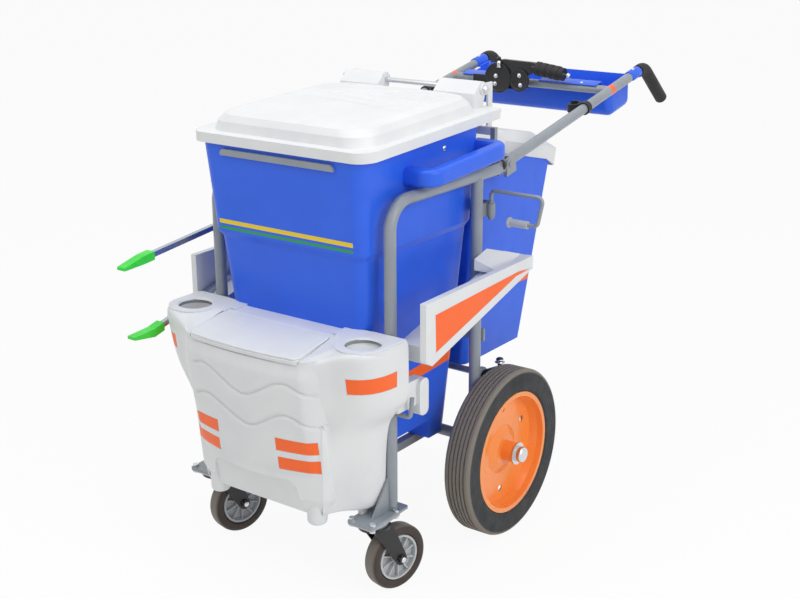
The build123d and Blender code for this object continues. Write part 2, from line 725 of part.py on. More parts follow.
for side, sign in SIDES:
    swivel = Plane(origin=(sign * CASTER_X, CASTER_Y, 0)).rotated((0, 0, CASTER_SWIVEL))
    side_plane = Plane(origin=swivel.origin, x_dir=swivel.y_dir, z_dir=swivel.x_dir)
    with BuildPart() as caster_fork:
        with BuildSketch(swivel.offset(FORK_Z)):
            Circle(FORK_TOP_R)
            Circle(KINGPIN_R + RUN, mode=Mode.SUBTRACT)
        extrude(amount=FORK_TOP_T)
        for leg in (FORK_IN, -FORK_IN - FORK_LEG_T):
            with BuildSketch(side_plane.offset(leg)):
                with Locations((CASTER_TRAIL, CASTER_AXLE_Z)):
                    Circle(FORK_EYE_R)
                with Locations((FORK_EYE_R / 3, FORK_Z + FORK_TOP_T / 2)):
                    Rectangle(FORK_TOP_R + FORK_EYE_R, FORK_TOP_T)
                make_hull()
            extrude(amount=FORK_LEG_T)
        with BuildSketch(side_plane.offset(-FORK_IN - FORK_LEG_T)):
            with Locations((CASTER_TRAIL, CASTER_AXLE_Z)):
                Circle(CASTER_BORE_R)
        extrude(amount=2 * (FORK_IN + FORK_LEG_T))
        for end in (-FORK_IN - 2.5 * FORK_LEG_T, FORK_IN + FORK_LEG_T):
            with BuildSketch(side_plane.offset(end)):
                with Locations((CASTER_TRAIL, CASTER_AXLE_Z)):
                    RegularPolygon(1.7 * CASTER_BORE_R, 6)
            extrude(amount=1.5 * FORK_LEG_T)
    save(caster_fork, f"caster_fork_{side}")

    axle = Plane(
        origin=swivel.from_local_coords((0, CASTER_TRAIL, CASTER_AXLE_Z)),
        x_dir=(0, 0, 1),
        z_dir=swivel.x_dir,
    )
    core_r = CASTER_CORE_D / 2
    hub_half = CASTER_WHEEL_W / 2 + FORK_SPACE - GAP
    with BuildPart() as caster_core:
        with BuildSketch(axle.offset(-hub_half)):
            ring(2.6 * CASTER_BORE_R, 1.6 * CASTER_BORE_R - RUN)
        extrude(amount=2 * hub_half)
        with BuildSketch(axle.offset(-CASTER_WHEEL_W / 2 + 2)):
            ring(core_r, 5)
        extrude(amount=CASTER_WHEEL_W - 4)
        with BuildSketch(axle.offset(-3)):
            ring(core_r - 2, core_r - 2 - 2 * CASTER_BORE_R)
        extrude(amount=6)
        with BuildSketch(axle.offset(-CASTER_WHEEL_W / 2 + 5)):
            with PolarLocations(core_r / 2 + CASTER_BORE_R / 2, 10):
                Rectangle(core_r - 2 * CASTER_BORE_R, 3)
        extrude(amount=CASTER_WHEEL_W - 10)
        with BuildSketch(axle.offset(-hub_half)):
            Circle(CASTER_BORE_R + RUN)
        extrude(amount=2 * hub_half, mode=Mode.SUBTRACT)
    save(caster_core, f"caster_core_{side}")

    with BuildPart() as caster_tyre:
        with BuildSketch(Plane(origin=axle.origin, x_dir=axle.z_dir, z_dir=axle.y_dir)) as section:
            with Locations((0, (core_r + CASTER_WHEEL_D / 2) / 2)):
                Rectangle(CASTER_WHEEL_W, CASTER_WHEEL_D / 2 - core_r)
            fillet(section.vertices().group_by(Axis.Z)[-1], CASTER_WHEEL_W / 4)
        revolve(axis=Axis(axle.origin, axle.z_dir))
    save(caster_tyre, f"caster_tyre_{side}")

# Rear wheels on stub axles: dished steel rims with solid tyres
TYRE_MID = TYRE_INNER_X + TYRE_W / 2
HUB_INNER_X = FRAME_HALF + BRACKET_T / 2 + AXLE_COLLAR_R
HUB_OUTER_X = HUB_INNER_X + HUB_LENGTH
AXLE_STUD = GAP + AXLE_CAP_L / 2
with BuildPart() as stub_axles:
    for side, sign in SIDES:
        for x, length, r in (
            (FRAME_HALF - BRACKET_T / 2, HUB_LENGTH + BRACKET_T + AXLE_COLLAR_R + AXLE_STUD, AXLE_R),
            (FRAME_HALF + BRACKET_T / 2, AXLE_COLLAR_R - GAP, AXLE_COLLAR_R),
            (FRAME_HALF - BRACKET_T / 2 - AXLE_R, AXLE_R, 1.6 * AXLE_R),
        ):
            with BuildSketch(Plane.YZ.offset(sign * x)):
                with Locations((0, AXLE_Z)):
                    Circle(r)
            extrude(amount=sign * length)
save(stub_axles, "stub_axles")

with BuildPart() as axle_nuts:
    for side, sign in SIDES:
        for x, length, r in (
            (HUB_OUTER_X + GAP, PLATE_T / 2, AXLE_WASHER_R),
            (HUB_OUTER_X + GAP + PLATE_T / 2, AXLE_CAP_L, AXLE_CAP_R),
        ):
            with BuildSketch(Plane.YZ.offset(sign * x)):
                with Locations((0, AXLE_Z)):
                    Circle(r)
            extrude(amount=sign * length)
    fillet(axle_nuts.edges().group_by(Axis.X)[0], AXLE_CAP_R / 3)
    fillet(axle_nuts.edges().group_by(Axis.X)[-1], AXLE_CAP_R / 3)
    with BuildSketch(Plane.YZ.offset(-HUB_OUTER_X - AXLE_STUD)):
        with Locations((0, AXLE_Z)):
            Circle(AXLE_R)
    extrude(amount=2 * (HUB_OUTER_X + AXLE_STUD), mode=Mode.SUBTRACT)
save(axle_nuts, "axle_nuts")

RIM_LIP = 6
for side, sign in SIDES:
    outer = TYRE_W / 2 - 3
    with BuildPart() as wheel_rim:
        with BuildSketch(Plane.XZ):
            with BuildLine():
                Polyline(
                    (sign * (TYRE_MID - outer), RIM_FLANGE_R),
                    (sign * (TYRE_MID - outer), RIM_R - RIM_SHEET),
                    (sign * (TYRE_MID - RIM_LIP), RIM_R - RIM_SHEET),
                    (sign * (TYRE_MID - RIM_LIP), HUB_R + 34),
                    (sign * (TYRE_MID + RIM_LIP), HUB_R + 12),
                    (sign * (TYRE_MID + RIM_LIP), HUB_R - 2),
                    (sign * (TYRE_MID + RIM_LIP + RIM_SHEET), HUB_R - 2),
                    (sign * (TYRE_MID + RIM_LIP + RIM_SHEET), HUB_R + 13),
                    (sign * (TYRE_MID - RIM_LIP + RIM_SHEET), HUB_R + 36),
                    (sign * (TYRE_MID - RIM_LIP + RIM_SHEET), RIM_R - 3 * RIM_SHEET),
                    (sign * (TYRE_MID + outer / 2), RIM_R - RIM_SHEET),
                    (sign * (TYRE_MID + outer), RIM_R - RIM_SHEET),
                    (sign * (TYRE_MID + outer), RIM_FLANGE_R),
                    (sign * (TYRE_MID + outer - RIM_SHEET), RIM_FLANGE_R),
                    (sign * (TYRE_MID + outer - RIM_SHEET), RIM_R),
                    (sign * (TYRE_MID - outer + RIM_SHEET), RIM_R),
                    (sign * (TYRE_MID - outer + RIM_SHEET), RIM_FLANGE_R),
                    close=True,
                )
            make_face()
        revolve(axis=Axis.X)
        with BuildSketch(Plane.YZ.offset(sign * HUB_INNER_X)):
            Circle(HUB_R)
        extrude(amount=sign * HUB_LENGTH)
        with BuildSketch(Plane.YZ.offset(sign * HUB_INNER_X)):
            Circle(AXLE_R + RUN)
        extrude(amount=sign * HUB_LENGTH, mode=Mode.SUBTRACT)
        with BuildSketch(Plane.YZ.offset(sign * TYRE_INNER_X)):
            with PolarLocations(RIM_HOLE_AT, 6, RIM_HOLE_TURN):
                Circle(RIM_HOLE_R)
        extrude(amount=sign * TYRE_W, mode=Mode.SUBTRACT)
    wheel_rim.part.locate(Location((0, 0, AXLE_Z)))
    save(wheel_rim, f"wheel_rim_{side}")

    with BuildPart() as tyre:
        with BuildSketch(Plane.XZ) as section:
            with Locations((sign * TYRE_MID, (RIM_FLANGE_R + WHEEL_D / 2) / 2)):
                Rectangle(TYRE_W, WHEEL_D / 2 - RIM_FLANGE_R)
            fillet(section.vertices().group_by(Axis.Z)[-1], TYRE_CROWN_R)
            with Locations((sign * TYRE_MID, (RIM_R + RIM_FLANGE_R) / 2)):
                Rectangle(2 * (outer - RIM_SHEET), RIM_FLANGE_R - RIM_R)
            for groove in range(GROOVE_COUNT):
                x = (groove - (GROOVE_COUNT - 1) / 2) * GROOVE_STEP
                with Locations((sign * TYRE_MID + x, WHEEL_D / 2)):
                    Rectangle(GROOVE_W, 2 * GROOVE_DEPTH, mode=Mode.SUBTRACT)
        revolve(axis=Axis.X)
    tyre.part.locate(Location((0, 0, AXLE_Z)))
    save(tyre, f"tyre_{side}")


def bin_size(z):
    """Half width, front and rear of the main bin at height z, and its step above the ledge."""
    if z <= BIN_STEP_Z:
        t = (z - BIN_FLOOR_Z) / (BIN_STEP_Z - BIN_FLOOR_Z)
        return (
            lerp(BIN_BASE_HALF, BIN_STEP_HALF, t),
            lerp(BIN_BASE_FRONT, BIN_STEP_FRONT, t),
            lerp(BIN_BASE_REAR, BIN_STEP_REAR, t),
        )
    t = (z - BIN_STEP_Z - BIN_STEP_H) / (BIN_RIM_Z - BIN_STEP_Z - BIN_STEP_H)
    return (
        lerp(BIN_STEP_HALF + BIN_STEP_OUT, BIN_RIM_HALF, t),
        lerp(BIN_STEP_FRONT - BIN_STEP_OUT, BIN_RIM_FRONT, t),
        lerp(BIN_STEP_REAR + BIN_STEP_OUT, BIN_RIM_REAR, t),
    )


def tub_section(size, corner_r, inset=0):
    """Rounded rectangle in the open sketch from a half width, a front and a rear."""
    half, front, rear = size
    with Locations((0, (front + rear) / 2)):
        RectangleRounded(2 * (half - inset), rear - front - 2 * inset, corner_r - inset)


# Main bin: tapered tub with a ledge, feet, a slanting rim and carry handles on its sides
BIN_FOOT_Z = CRADLE_TOP + TUBE_R - CRADLE_BAR_W / 2 + SEAT
BIN_FLOOR_Z = BIN_FOOT_Z + BIN_FOOT_H
LID_PLANE = Plane(
    origin=(0, LID_FRONT_Y, LID_FRONT_Z),
    x_dir=(1, 0, 0),
    z_dir=(0, -sin(radians(LID_TILT)), cos(radians(LID_TILT))),
)
RIM_UP = LID_FLANGE_H - LID_WALL - SEAT
CARRY_PLANE = Plane(origin=(0, (CARRY_FRONT + CARRY_REAR) / 2, CARRY_Z)).rotated((CARRY_TILT, 0, 0))
CARRY_LENGTH = CARRY_REAR - CARRY_FRONT
with BuildPart() as carry_bars:
    for sign in (1, -1):
        with BuildSketch(CARRY_PLANE):
            with Locations((sign * CARRY_OUT_X / 2, 0)):
                RectangleRounded(CARRY_OUT_X, CARRY_LENGTH, CARRY_CORNER_R)
                Rectangle(CARRY_OUT_X - 2 * CARRY_BAR, CARRY_LENGTH - 2 * CARRY_END, mode=Mode.SUBTRACT)
            with Locations((sign * BIN_STEP_HALF / 2, 0)):
                Rectangle(BIN_STEP_HALF, 2 * CARRY_OUT_X, mode=Mode.SUBTRACT)
        extrude(amount=CARRY_H)
    carry_edges = carry_bars.edges().group_by(Axis(CARRY_PLANE.origin, CARRY_PLANE.z_dir))
    fillet(carry_edges[0] + carry_edges[-1], CARRY_ROUND)

with BuildPart() as main_bin:
    for z in (BIN_FOOT_Z, BIN_STEP_Z, BIN_STEP_Z + BIN_STEP_H, BIN_RIM_Z + 3 * BIN_STEP_H):
        with BuildSketch(Plane.XY.offset(z)):
            tub_section(bin_size(z), BIN_CORNER_R)
    loft(ruled=True)
    with BuildSketch(Plane.YZ):
        with Locations(((BIN_RECESS_FRONT + BIN_RECESS_REAR) / 2, BIN_FOOT_Z)):
            Rectangle(BIN_RECESS_REAR - BIN_RECESS_FRONT, 2 * BIN_FOOT_H)
    extrude(amount=BIN_RIM_HALF, both=True, mode=Mode.SUBTRACT)
    add(carry_bars.part)
    for z in (BIN_FLOOR_Z + BIN_WALL, BIN_STEP_Z, BIN_STEP_Z + BIN_STEP_H, BIN_RIM_Z + 3 * BIN_STEP_H):
        with BuildSketch(Plane.XY.offset(z)):
            tub_section(bin_size(z), BIN_CORNER_R, BIN_WALL)
    loft(ruled=True, mode=Mode.SUBTRACT)
    for front, rear in ((None, BIN_RECESS_FRONT), (BIN_RECESS_REAR, None)):
        half, base_front, base_rear = bin_size(BIN_FOOT_Z)
        front = front or base_front
        rear = rear or base_rear
        with BuildSketch(Plane.XY.offset(BIN_FOOT_Z + BIN_WALL)):
            with Locations((0, (front + rear) / 2)):
                RectangleRounded(2 * half - 4 * BIN_WALL, rear - front - 2 * BIN_WALL, 3 * BIN_WALL)
        extrude(amount=BIN_FOOT_H, mode=Mode.SUBTRACT)
    split(bisect_by=LID_PLANE.offset(RIM_UP), keep=Keep.BOTTOM)
save(main_bin, "main_bin")

# Lift bar across the front of the main bin, lying on its sloping wall
front_lean = atan2(bin_size(LIFT_BAR_Z)[1] - bin_size(LIFT_BAR_Z + LIFT_BAR_H)[1], LIFT_BAR_H)
front_wall = Plane(
    origin=(0, bin_size(LIFT_BAR_Z)[1], LIFT_BAR_Z),
    x_dir=(1, 0, 0),
    z_dir=(0, -cos(front_lean), -sin(front_lean)),
)
with BuildPart() as lift_bar:
    with BuildSketch(front_wall.offset(SEAT)):
        with BuildLine():
            Polyline(
                (-LIFT_BAR_HALF, 0),
                (LIFT_BAR_HALF, 0),
                (LIFT_BAR_HALF, LIFT_BAR_H / 2),
                (LIFT_BAR_HALF - LIFT_BAR_H / 2, LIFT_BAR_H),
                (LIFT_BAR_H / 2 - LIFT_BAR_HALF, LIFT_BAR_H),
                (-LIFT_BAR_HALF, LIFT_BAR_H / 2),
                close=True,
            )
        make_face()
    extrude(amount=LIFT_BAR_T)
save(lift_bar, "lift_bar")

# Main lid: flange, drafted raised panel and hinge knuckles, hollow underneath
PANEL_END = LID_LENGTH - LID_PANEL_REAR
with BuildPart() as main_lid:
    for inset, z, h, mode in (
        (0, 0, LID_FLANGE_H, Mode.ADD),
        (LID_WALL, 0, LID_FLANGE_H - LID_WALL, Mode.SUBTRACT),
    ):
        with BuildSketch(LID_PLANE.offset(z)) as outline:
            with Locations((0, LID_LENGTH / 2)):
                Rectangle(2 * (LID_HALF - inset), LID_LENGTH - 2 * inset)
            fillet(outline.vertices().group_by(Axis.Y)[0], LID_CORNER_R - inset)
            fillet(outline.vertices().group_by(Axis.Y)[-1], LID_REAR_CORNER_R - inset)
        extrude(amount=h, mode=mode)
    for wall, mode in ((0, Mode.ADD), (LID_WALL, Mode.SUBTRACT)):
        for share, draw_in, corner_r in LID_SHOULDER:
            inset = LID_PANEL_INSET + draw_in + wall
            level = LID_FLANGE_H - LID_WALL - wall + share * (LID_WALL + LID_PANEL_H)
            depth = PANEL_END + LID_PANEL_INSET - 2 * inset
            with BuildSketch(LID_PLANE.offset(level)):
                with Locations((0, (PANEL_END + LID_PANEL_INSET) / 2)):
                    RectangleRounded(2 * (LID_HALF - inset), depth, corner_r - wall)
        loft(ruled=True, mode=mode)
    for x in (KNUCKLE_IN_X, -KNUCKLE_OUT_X):
        with BuildSketch(Plane.YZ.offset(x)):
            with Locations((LID_HINGE_Y, LID_HINGE_Z)):
                Circle(KNUCKLE_R)
            with Locations((LID_HINGE_Y - KNUCKLE_R, LID_HINGE_Z - KNUCKLE_R - 8)):
                Rectangle(2 * KNUCKLE_R, 2 * KNUCKLE_R)
            make_hull()
        extrude(amount=KNUCKLE_OUT_X - KNUCKLE_IN_X)
    with BuildSketch(Plane.YZ.offset(-KNUCKLE_OUT_X)):
        with Locations((LID_HINGE_Y, LID_HINGE_Z)):
            Circle(HINGE_ROD_R + RUN)
    extrude(amount=2 * KNUCKLE_OUT_X, mode=Mode.SUBTRACT)
    with BuildSketch(LID_PLANE):
        with Locations((0, LID_LENGTH)):
            Rectangle(2 * LID_HALF, 2 * LID_REAR_CORNER_R)
    extrude(amount=LID_REAR_CLEAR, mode=Mode.SUBTRACT)
save(main_lid, "main_lid")

# Hinge stand behind the lid: posts on the rails, a bar between them with two ears, and the rod
POST_FOOT_Z = RAIL_Z - TUBE_R / 2
with BuildPart() as lid_posts:
    with Locations((POST_X, POST_Y), (-POST_X, POST_Y)):
        with Locations((0, 0, (POST_FOOT_Z + POST_TOP_Z) / 2)):
            Box(POST_W, POST_W, POST_TOP_Z - POST_FOOT_Z)
    with BuildSketch(Plane.XZ):
        with Locations((FRAME_HALF, RAIL_Z), (-FRAME_HALF, RAIL_Z)):
            Circle(TUBE_R)
    extrude(amount=-2 * POST_Y, mode=Mode.SUBTRACT)
save(lid_posts, "lid_posts")

LID_REAR_Y = LID_PLANE.from_local_coords((0, LID_LENGTH, 0)).Y
EAR_Y = LID_REAR_Y + EAR_BACK
EAR_X = KNUCKLE_OUT_X + GAP
with BuildPart() as lid_hinge_bar:
    with Locations((0, POST_Y, POST_TOP_Z - HINGE_BAR_H / 2)):
        Box(2 * POST_X - POST_W, POST_W, HINGE_BAR_H)
    for x in (EAR_X, -EAR_X - EAR_T):
        with BuildSketch(Plane.YZ.offset(x)):
            with Locations((LID_HINGE_Y, LID_HINGE_Z)):
                Circle(EAR_R)
            with Locations((EAR_Y, LID_HINGE_Z)):
                Rectangle(EAR_W, 2 * EAR_R)
            make_hull()
            with Locations((EAR_Y, (POST_TOP_Z - HINGE_BAR_H + LID_HINGE_Z) / 2)):
                Rectangle(EAR_W, LID_HINGE_Z - POST_TOP_Z + HINGE_BAR_H)
            with Locations(((POST_Y + EAR_Y) / 2, POST_TOP_Z - HINGE_BAR_H / 2)):
                Rectangle(EAR_Y - POST_Y, HINGE_BAR_H)
            with Locations((LID_HINGE_Y, LID_HINGE_Z)):
                Circle(HINGE_ROD_R, mode=Mode.SUBTRACT)
        extrude(amount=EAR_T)
save(lid_hinge_bar, "lid_hinge_bar")

ROD_HALF = EAR_X + EAR_T
with BuildPart() as lid_hinge_rod:
    with BuildSketch(Plane.YZ.offset(-ROD_HALF)):
        with Locations((LID_HINGE_Y, LID_HINGE_Z)):
            Circle(HINGE_ROD_R)
    extrude(amount=2 * ROD_HALF)
    for x in (ROD_HALF, -ROD_HALF - ROD_NUT_L):
        with BuildSketch(Plane.YZ.offset(x)):
            with Locations((LID_HINGE_Y, LID_HINGE_Z)):
                Circle(ROD_NUT_R)
        extrude(amount=ROD_NUT_L)
    fillet(lid_hinge_rod.edges().filter_by(GeomType.CIRCLE).group_by(Axis.X)[-1], ROD_NUT_R / 2)
    fillet(lid_hinge_rod.edges().filter_by(GeomType.CIRCLE).group_by(Axis.X)[0], ROD_NUT_R / 2)
save(lid_hinge_rod, "lid_hinge_rod")


def rear_size(z):
    """Half width, front and rear of the rear bin at height z."""
    t = (z - REAR_BASE_Z) / (REAR_TOP_Z - REAR_BASE_Z)
    return (
        lerp(REAR_BASE_HALF, REAR_TOP_HALF, t),
        rear_front(z),
        lerp(REAR_BASE_REAR, REAR_TOP_REAR, t),
    )


# Rear bin: tapered tub with a sloping rim, ribs against the lower bar and a deck under the lid's hinge
REAR_PLANE = Plane(
    origin=(0, rear_front(REAR_RIM_Z), REAR_RIM_Z),
    x_dir=(1, 0, 0),
    z_dir=(0, sin(radians(REAR_SLANT)), cos(radians(REAR_SLANT))),
)
DECK_L = (REAR_DECK_Y - rear_front(REAR_RIM_Z)) / cos(radians(REAR_SLANT))
REAR_HINGE_AT = DECK_L + REAR_HINGE_R + GAP
REAR_HINGE_UP = REAR_HINGE_R + GAP
REAR_SIDE = Plane(origin=REAR_PLANE.origin, x_dir=REAR_PLANE.y_dir, z_dir=REAR_PLANE.x_dir)
REAR_FACE = Plane(origin=REAR_PLANE.origin, x_dir=REAR_PLANE.x_dir, z_dir=-REAR_PLANE.y_dir)
REAR_EARS = [
    side * REAR_KNUCKLE_X + end
    for side in (1, -1)
    for end in (REAR_KNUCKLE_W / 2 + GAP, -REAR_KNUCKLE_W / 2 - GAP - REAR_EAR_T)
]
with BuildPart() as rear_bin:
    for z in (REAR_BASE_Z, REAR_TOP_Z):
        with BuildSketch(Plane.XY.offset(z)):
            tub_section(rear_size(z), REAR_CORNER_R)
    loft(ruled=True)
    rib_front = LOWER_BAR_Y + BAR_T + SEAT
    rib_rear = rear_front(LOWER_BAR_Z) + REAR_WALL
    with Locations((HOOK_X, 0), (-HOOK_X, 0)):
        with Locations((0, (rib_front + rib_rear) / 2, LOWER_BAR_Z)):
            Box(HOOK_W, rib_rear - rib_front, BAR_H)
    for z in (REAR_BASE_Z + REAR_WALL, REAR_TOP_Z):
        with BuildSketch(Plane.XY.offset(z)):
            tub_section(rear_size(z), REAR_CORNER_R, REAR_WALL)
    loft(ruled=True, mode=Mode.SUBTRACT)
    split(bisect_by=REAR_PLANE, keep=Keep.BOTTOM)
    deck_half = rear_size(REAR_RIM_Z)[0] - 2 * REAR_WALL
    with BuildSketch(REAR_PLANE):
        with Locations((0, (REAR_WALL + REAR_HINGE_AT + REAR_HINGE_R) / 2)):
            Rectangle(2 * deck_half, REAR_HINGE_AT + REAR_HINGE_R - REAR_WALL)
    extrude(amount=-REAR_DECK_T)
    for x in REAR_EARS:
        with BuildSketch(REAR_SIDE.offset(x)):
            with Locations((REAR_HINGE_AT, REAR_HINGE_UP)):
                Circle(REAR_HINGE_R)
            with Locations((REAR_HINGE_AT, -REAR_DECK_T / 2)):
                Rectangle(2 * REAR_HINGE_R, REAR_DECK_T)
            make_hull()
        extrude(amount=REAR_EAR_T)
    for x in (REAR_KNUCKLE_X, -REAR_KNUCKLE_X):
        with BuildSketch(REAR_SIDE.offset(x)):
            with Locations((REAR_HINGE_AT, REAR_HINGE_UP)):
                Circle(REAR_PIN_R)
        extrude(amount=REAR_KNUCKLE_W / 2 + REAR_EAR_T, both=True)
save(rear_bin, "rear_bin")

# Rear lid: a domed cover whose drooping end hides the rim, with knuckles on the bin's hinge pins
LID_NOSE_AT = REAR_HINGE_AT + REAR_HINGE_R + GAP
LID_END_AT = (REAR_LID_REAR_Y - rear_front(REAR_RIM_Z)) / cos(radians(REAR_SLANT))
CROWN_AT = LID_NOSE_AT + REAR_LID_RISE
with BuildPart() as rear_lid_core:
    with BuildSketch(REAR_SIDE):
        with BuildLine():
            Polyline(
                (LID_NOSE_AT + REAR_LID_RIM, -REAR_LID_FALL),
                (LID_NOSE_AT + REAR_LID_RIM, REAR_LID_NOSE + REAR_LID_WALL),
                (CROWN_AT, REAR_LID_CROWN - 3 * REAR_LID_WALL),
                (LID_END_AT - REAR_LID_LIP, REAR_LID_CROWN - REAR_LID_WALL),
                (LID_END_AT - REAR_LID_LIP + REAR_LID_RIM, REAR_LID_SKIRT),
                (LID_END_AT - REAR_LID_LIP + REAR_LID_RIM, -REAR_LID_FALL),
                close=True,
            )
        make_face()
    extrude(amount=REAR_LID_HALF, both=True)
    with BuildSketch(REAR_FACE):
        with BuildLine():
            Polyline(
                (REAR_LID_RIM - REAR_LID_HALF, -REAR_LID_FALL),
                (REAR_LID_RIM - REAR_LID_HALF, REAR_LID_SKIRT - REAR_LID_WALL),
                (-REAR_LID_SHOULDER, REAR_LID_CROWN - REAR_LID_WALL),
                (REAR_LID_SHOULDER, REAR_LID_CROWN - REAR_LID_WALL),
                (REAR_LID_HALF - REAR_LID_RIM, REAR_LID_SKIRT - REAR_LID_WALL),
                (REAR_LID_HALF - REAR_LID_RIM, -REAR_LID_FALL),
                close=True,
            )
        make_face()
    extrude(amount=-2 * LID_END_AT, mode=Mode.INTERSECT)

with BuildPart() as rear_lid:
    with BuildSketch(REAR_SIDE):
        with BuildLine():
            Polyline(
                (LID_NOSE_AT, SEAT),
                (LID_NOSE_AT, REAR_LID_NOSE),
                (CROWN_AT, REAR_LID_CROWN - 2 * REAR_LID_WALL),
                (LID_END_AT - REAR_LID_LIP, REAR_LID_CROWN),
                (LID_END_AT - 3 * REAR_LID_WALL, REAR_LID_SKIRT + REAR_LID_WALL),
                (LID_END_AT, REAR_LID_SKIRT - REAR_LID_WALL),
                (LID_END_AT, -REAR_LID_FALL),
                (LID_END_AT - REAR_LID_LIP, SEAT),
                close=True,
            )
        make_face()
    extrude(amount=REAR_LID_HALF, both=True)
    with BuildSketch(REAR_FACE):
        with BuildLine():
            Polyline(
                (-REAR_LID_HALF, -REAR_LID_FALL),
                (-REAR_LID_HALF, REAR_LID_SKIRT),
                (-REAR_LID_SHOULDER, REAR_LID_CROWN),
                (REAR_LID_SHOULDER, REAR_LID_CROWN),
                (REAR_LID_HALF, REAR_LID_SKIRT),
                (REAR_LID_HALF, -REAR_LID_FALL),
                close=True,
            )
        make_face()
    extrude(amount=-2 * LID_END_AT, mode=Mode.INTERSECT)
    with BuildSketch(REAR_PLANE) as outline:
        with Locations((0, LID_END_AT / 2)):
            Rectangle(2 * REAR_LID_HALF, LID_END_AT)
        fillet(outline.vertices().group_by(Axis.Y)[-1], REAR_CORNER_R)
    extrude(amount=2 * REAR_LID_CROWN, both=True, mode=Mode.INTERSECT)
    add(rear_lid_core.part, mode=Mode.SUBTRACT)
    with BuildSketch(REAR_PLANE.offset(SEAT)) as outline:
        with Locations((0, (LID_END_AT - REAR_LID_WALL) / 2)):
            Rectangle(2 * (REAR_LID_HALF - REAR_LID_WALL), LID_END_AT - REAR_LID_WALL)
        fillet(outline.vertices().group_by(Axis.Y)[-1], REAR_CORNER_R - REAR_LID_WALL)
    extrude(amount=-2 * REAR_LID_FALL, mode=Mode.SUBTRACT)
    for x in (REAR_KNUCKLE_X, -REAR_KNUCKLE_X):
        with BuildSketch(REAR_SIDE.offset(x)):
            with Locations((REAR_HINGE_AT, REAR_HINGE_UP)):
                Circle(REAR_HINGE_R)
            with Locations((LID_NOSE_AT + REAR_LID_WALL / 2, REAR_LID_NOSE / 2 + SEAT)):
                Rectangle(REAR_LID_WALL, REAR_LID_NOSE)
            make_hull()
            with Locations((REAR_HINGE_AT, REAR_HINGE_UP)):
                Circle(REAR_PIN_R + RUN, mode=Mode.SUBTRACT)
        extrude(amount=REAR_KNUCKLE_W / 2, both=True)
save(rear_lid, "rear_lid")

# Hooks that hang the rear bin on the upper bar
HOOK_Y = UPPER_BAR_Y + BAR_T + SEAT
HOOK_LIP_Y = UPPER_BAR_Y - SEAT - HOOK_T
with BuildPart() as rear_bin_hooks:
    for x in (HOOK_X, -HOOK_X):
        with BuildSketch(Plane.YZ.offset(x)):
            with Locations((HOOK_Y + HOOK_T / 2, HOOK_TOP - HOOK_DROP / 2)):
                Rectangle(HOOK_T, HOOK_DROP)
            with Locations(((HOOK_LIP_Y + HOOK_Y + HOOK_T) / 2, HOOK_TOP - HOOK_T / 2)):
                Rectangle(HOOK_Y + HOOK_T - HOOK_LIP_Y, HOOK_T)
            with Locations((HOOK_LIP_Y + HOOK_T / 2, HOOK_TOP - HOOK_DROP / 6)):
                Rectangle(HOOK_T, HOOK_DROP / 3)
        extrude(amount=HOOK_W / 2, both=True)
save(rear_bin_hooks, "rear_bin_hooks")


def body_outline(half, side_y, mid_y):
    """Outline of the toolbox body: bowed front, rounded corners and sides drawn in towards the back."""
    out, corner_back, hold, hold_back = BODY_CORNER
    right = [
        (half, side_y),
        (half + out, side_y + corner_back),
        (half + hold, side_y + hold_back),
        (half - BODY_WAIST_IN, BODY_BACK_Y),
    ]
    left = [(-x, y) for x, y in right]
    ThreePointArc(left[0], (0, mid_y), right[0])
    ThreePointArc(right[0], right[1], right[2])
    Line(right[2], right[3])
    Line(right[3], left[3])
    Line(left[3], left[2])
    ThreePointArc(left[2], left[1], left[0])


def upper_outline(shrink):
    """Outline of the toolbox under its lid, drawn in by shrink: bowed front and wide round corners."""
    side_x = BOX_SIDE - shrink
    corner = [
        (BOX_FRONT_X, BOX_FRONT_Y + shrink),
        (side_x - BOX_TURN_X, BOX_FRONT_Y + BOX_TURN_Y + shrink),
        (side_x, BOX_FRONT_Y + BOX_TURN_END + shrink),
    ]
    mirror_corner = [(-x, y) for x, y in corner]
    ThreePointArc(mirror_corner[0], (0, BOX_FRONT + shrink), corner[0])
    ThreePointArc(*corner)
    Polyline(corner[2], (side_x, BOX_REAR), (-side_x, BOX_REAR), mirror_corner[2])
    ThreePointArc(*reversed(mirror_corner))


def wave_line(z):
    """Points of one wave across the toolbox's front, around height z."""
    count = 4 * WAVE_COUNT
    for step in range(count + 1):
        x = lerp(WAVE_LEFT, WAVE_RIGHT, step / count)
        yield x, z + WAVE_RISE * cos(2 * pi * (x - WAVE_PEAK_X) / WAVE_PERIOD)


def lobe_outline(sign, x, y, r):
    """Outline of a cup lobe: rounded front, straight outer side and a small rear corner."""
    turn = LOBE_BACK_R * (1 - sqrt(0.5))
    points = [
        (LOBE_ROOT_X, y),
        (x - r, y),
        (x, y - r),
        (x + r, y),
        (x + r, BOX_REAR - LOBE_BACK_R),
        (x + r - turn, BOX_REAR - turn),
        (x + r - LOBE_BACK_R, BOX_REAR),
        (LOBE_ROOT_X, BOX_REAR),
    ]
    points = [(sign * px, py) for px, py in points]
    Line(points[0], points[1])
    ThreePointArc(*points[1:4])
    Line(points[3], points[4])
    ThreePointArc(*points[4:7])
    Polyline(points[6], points[7], points[0])


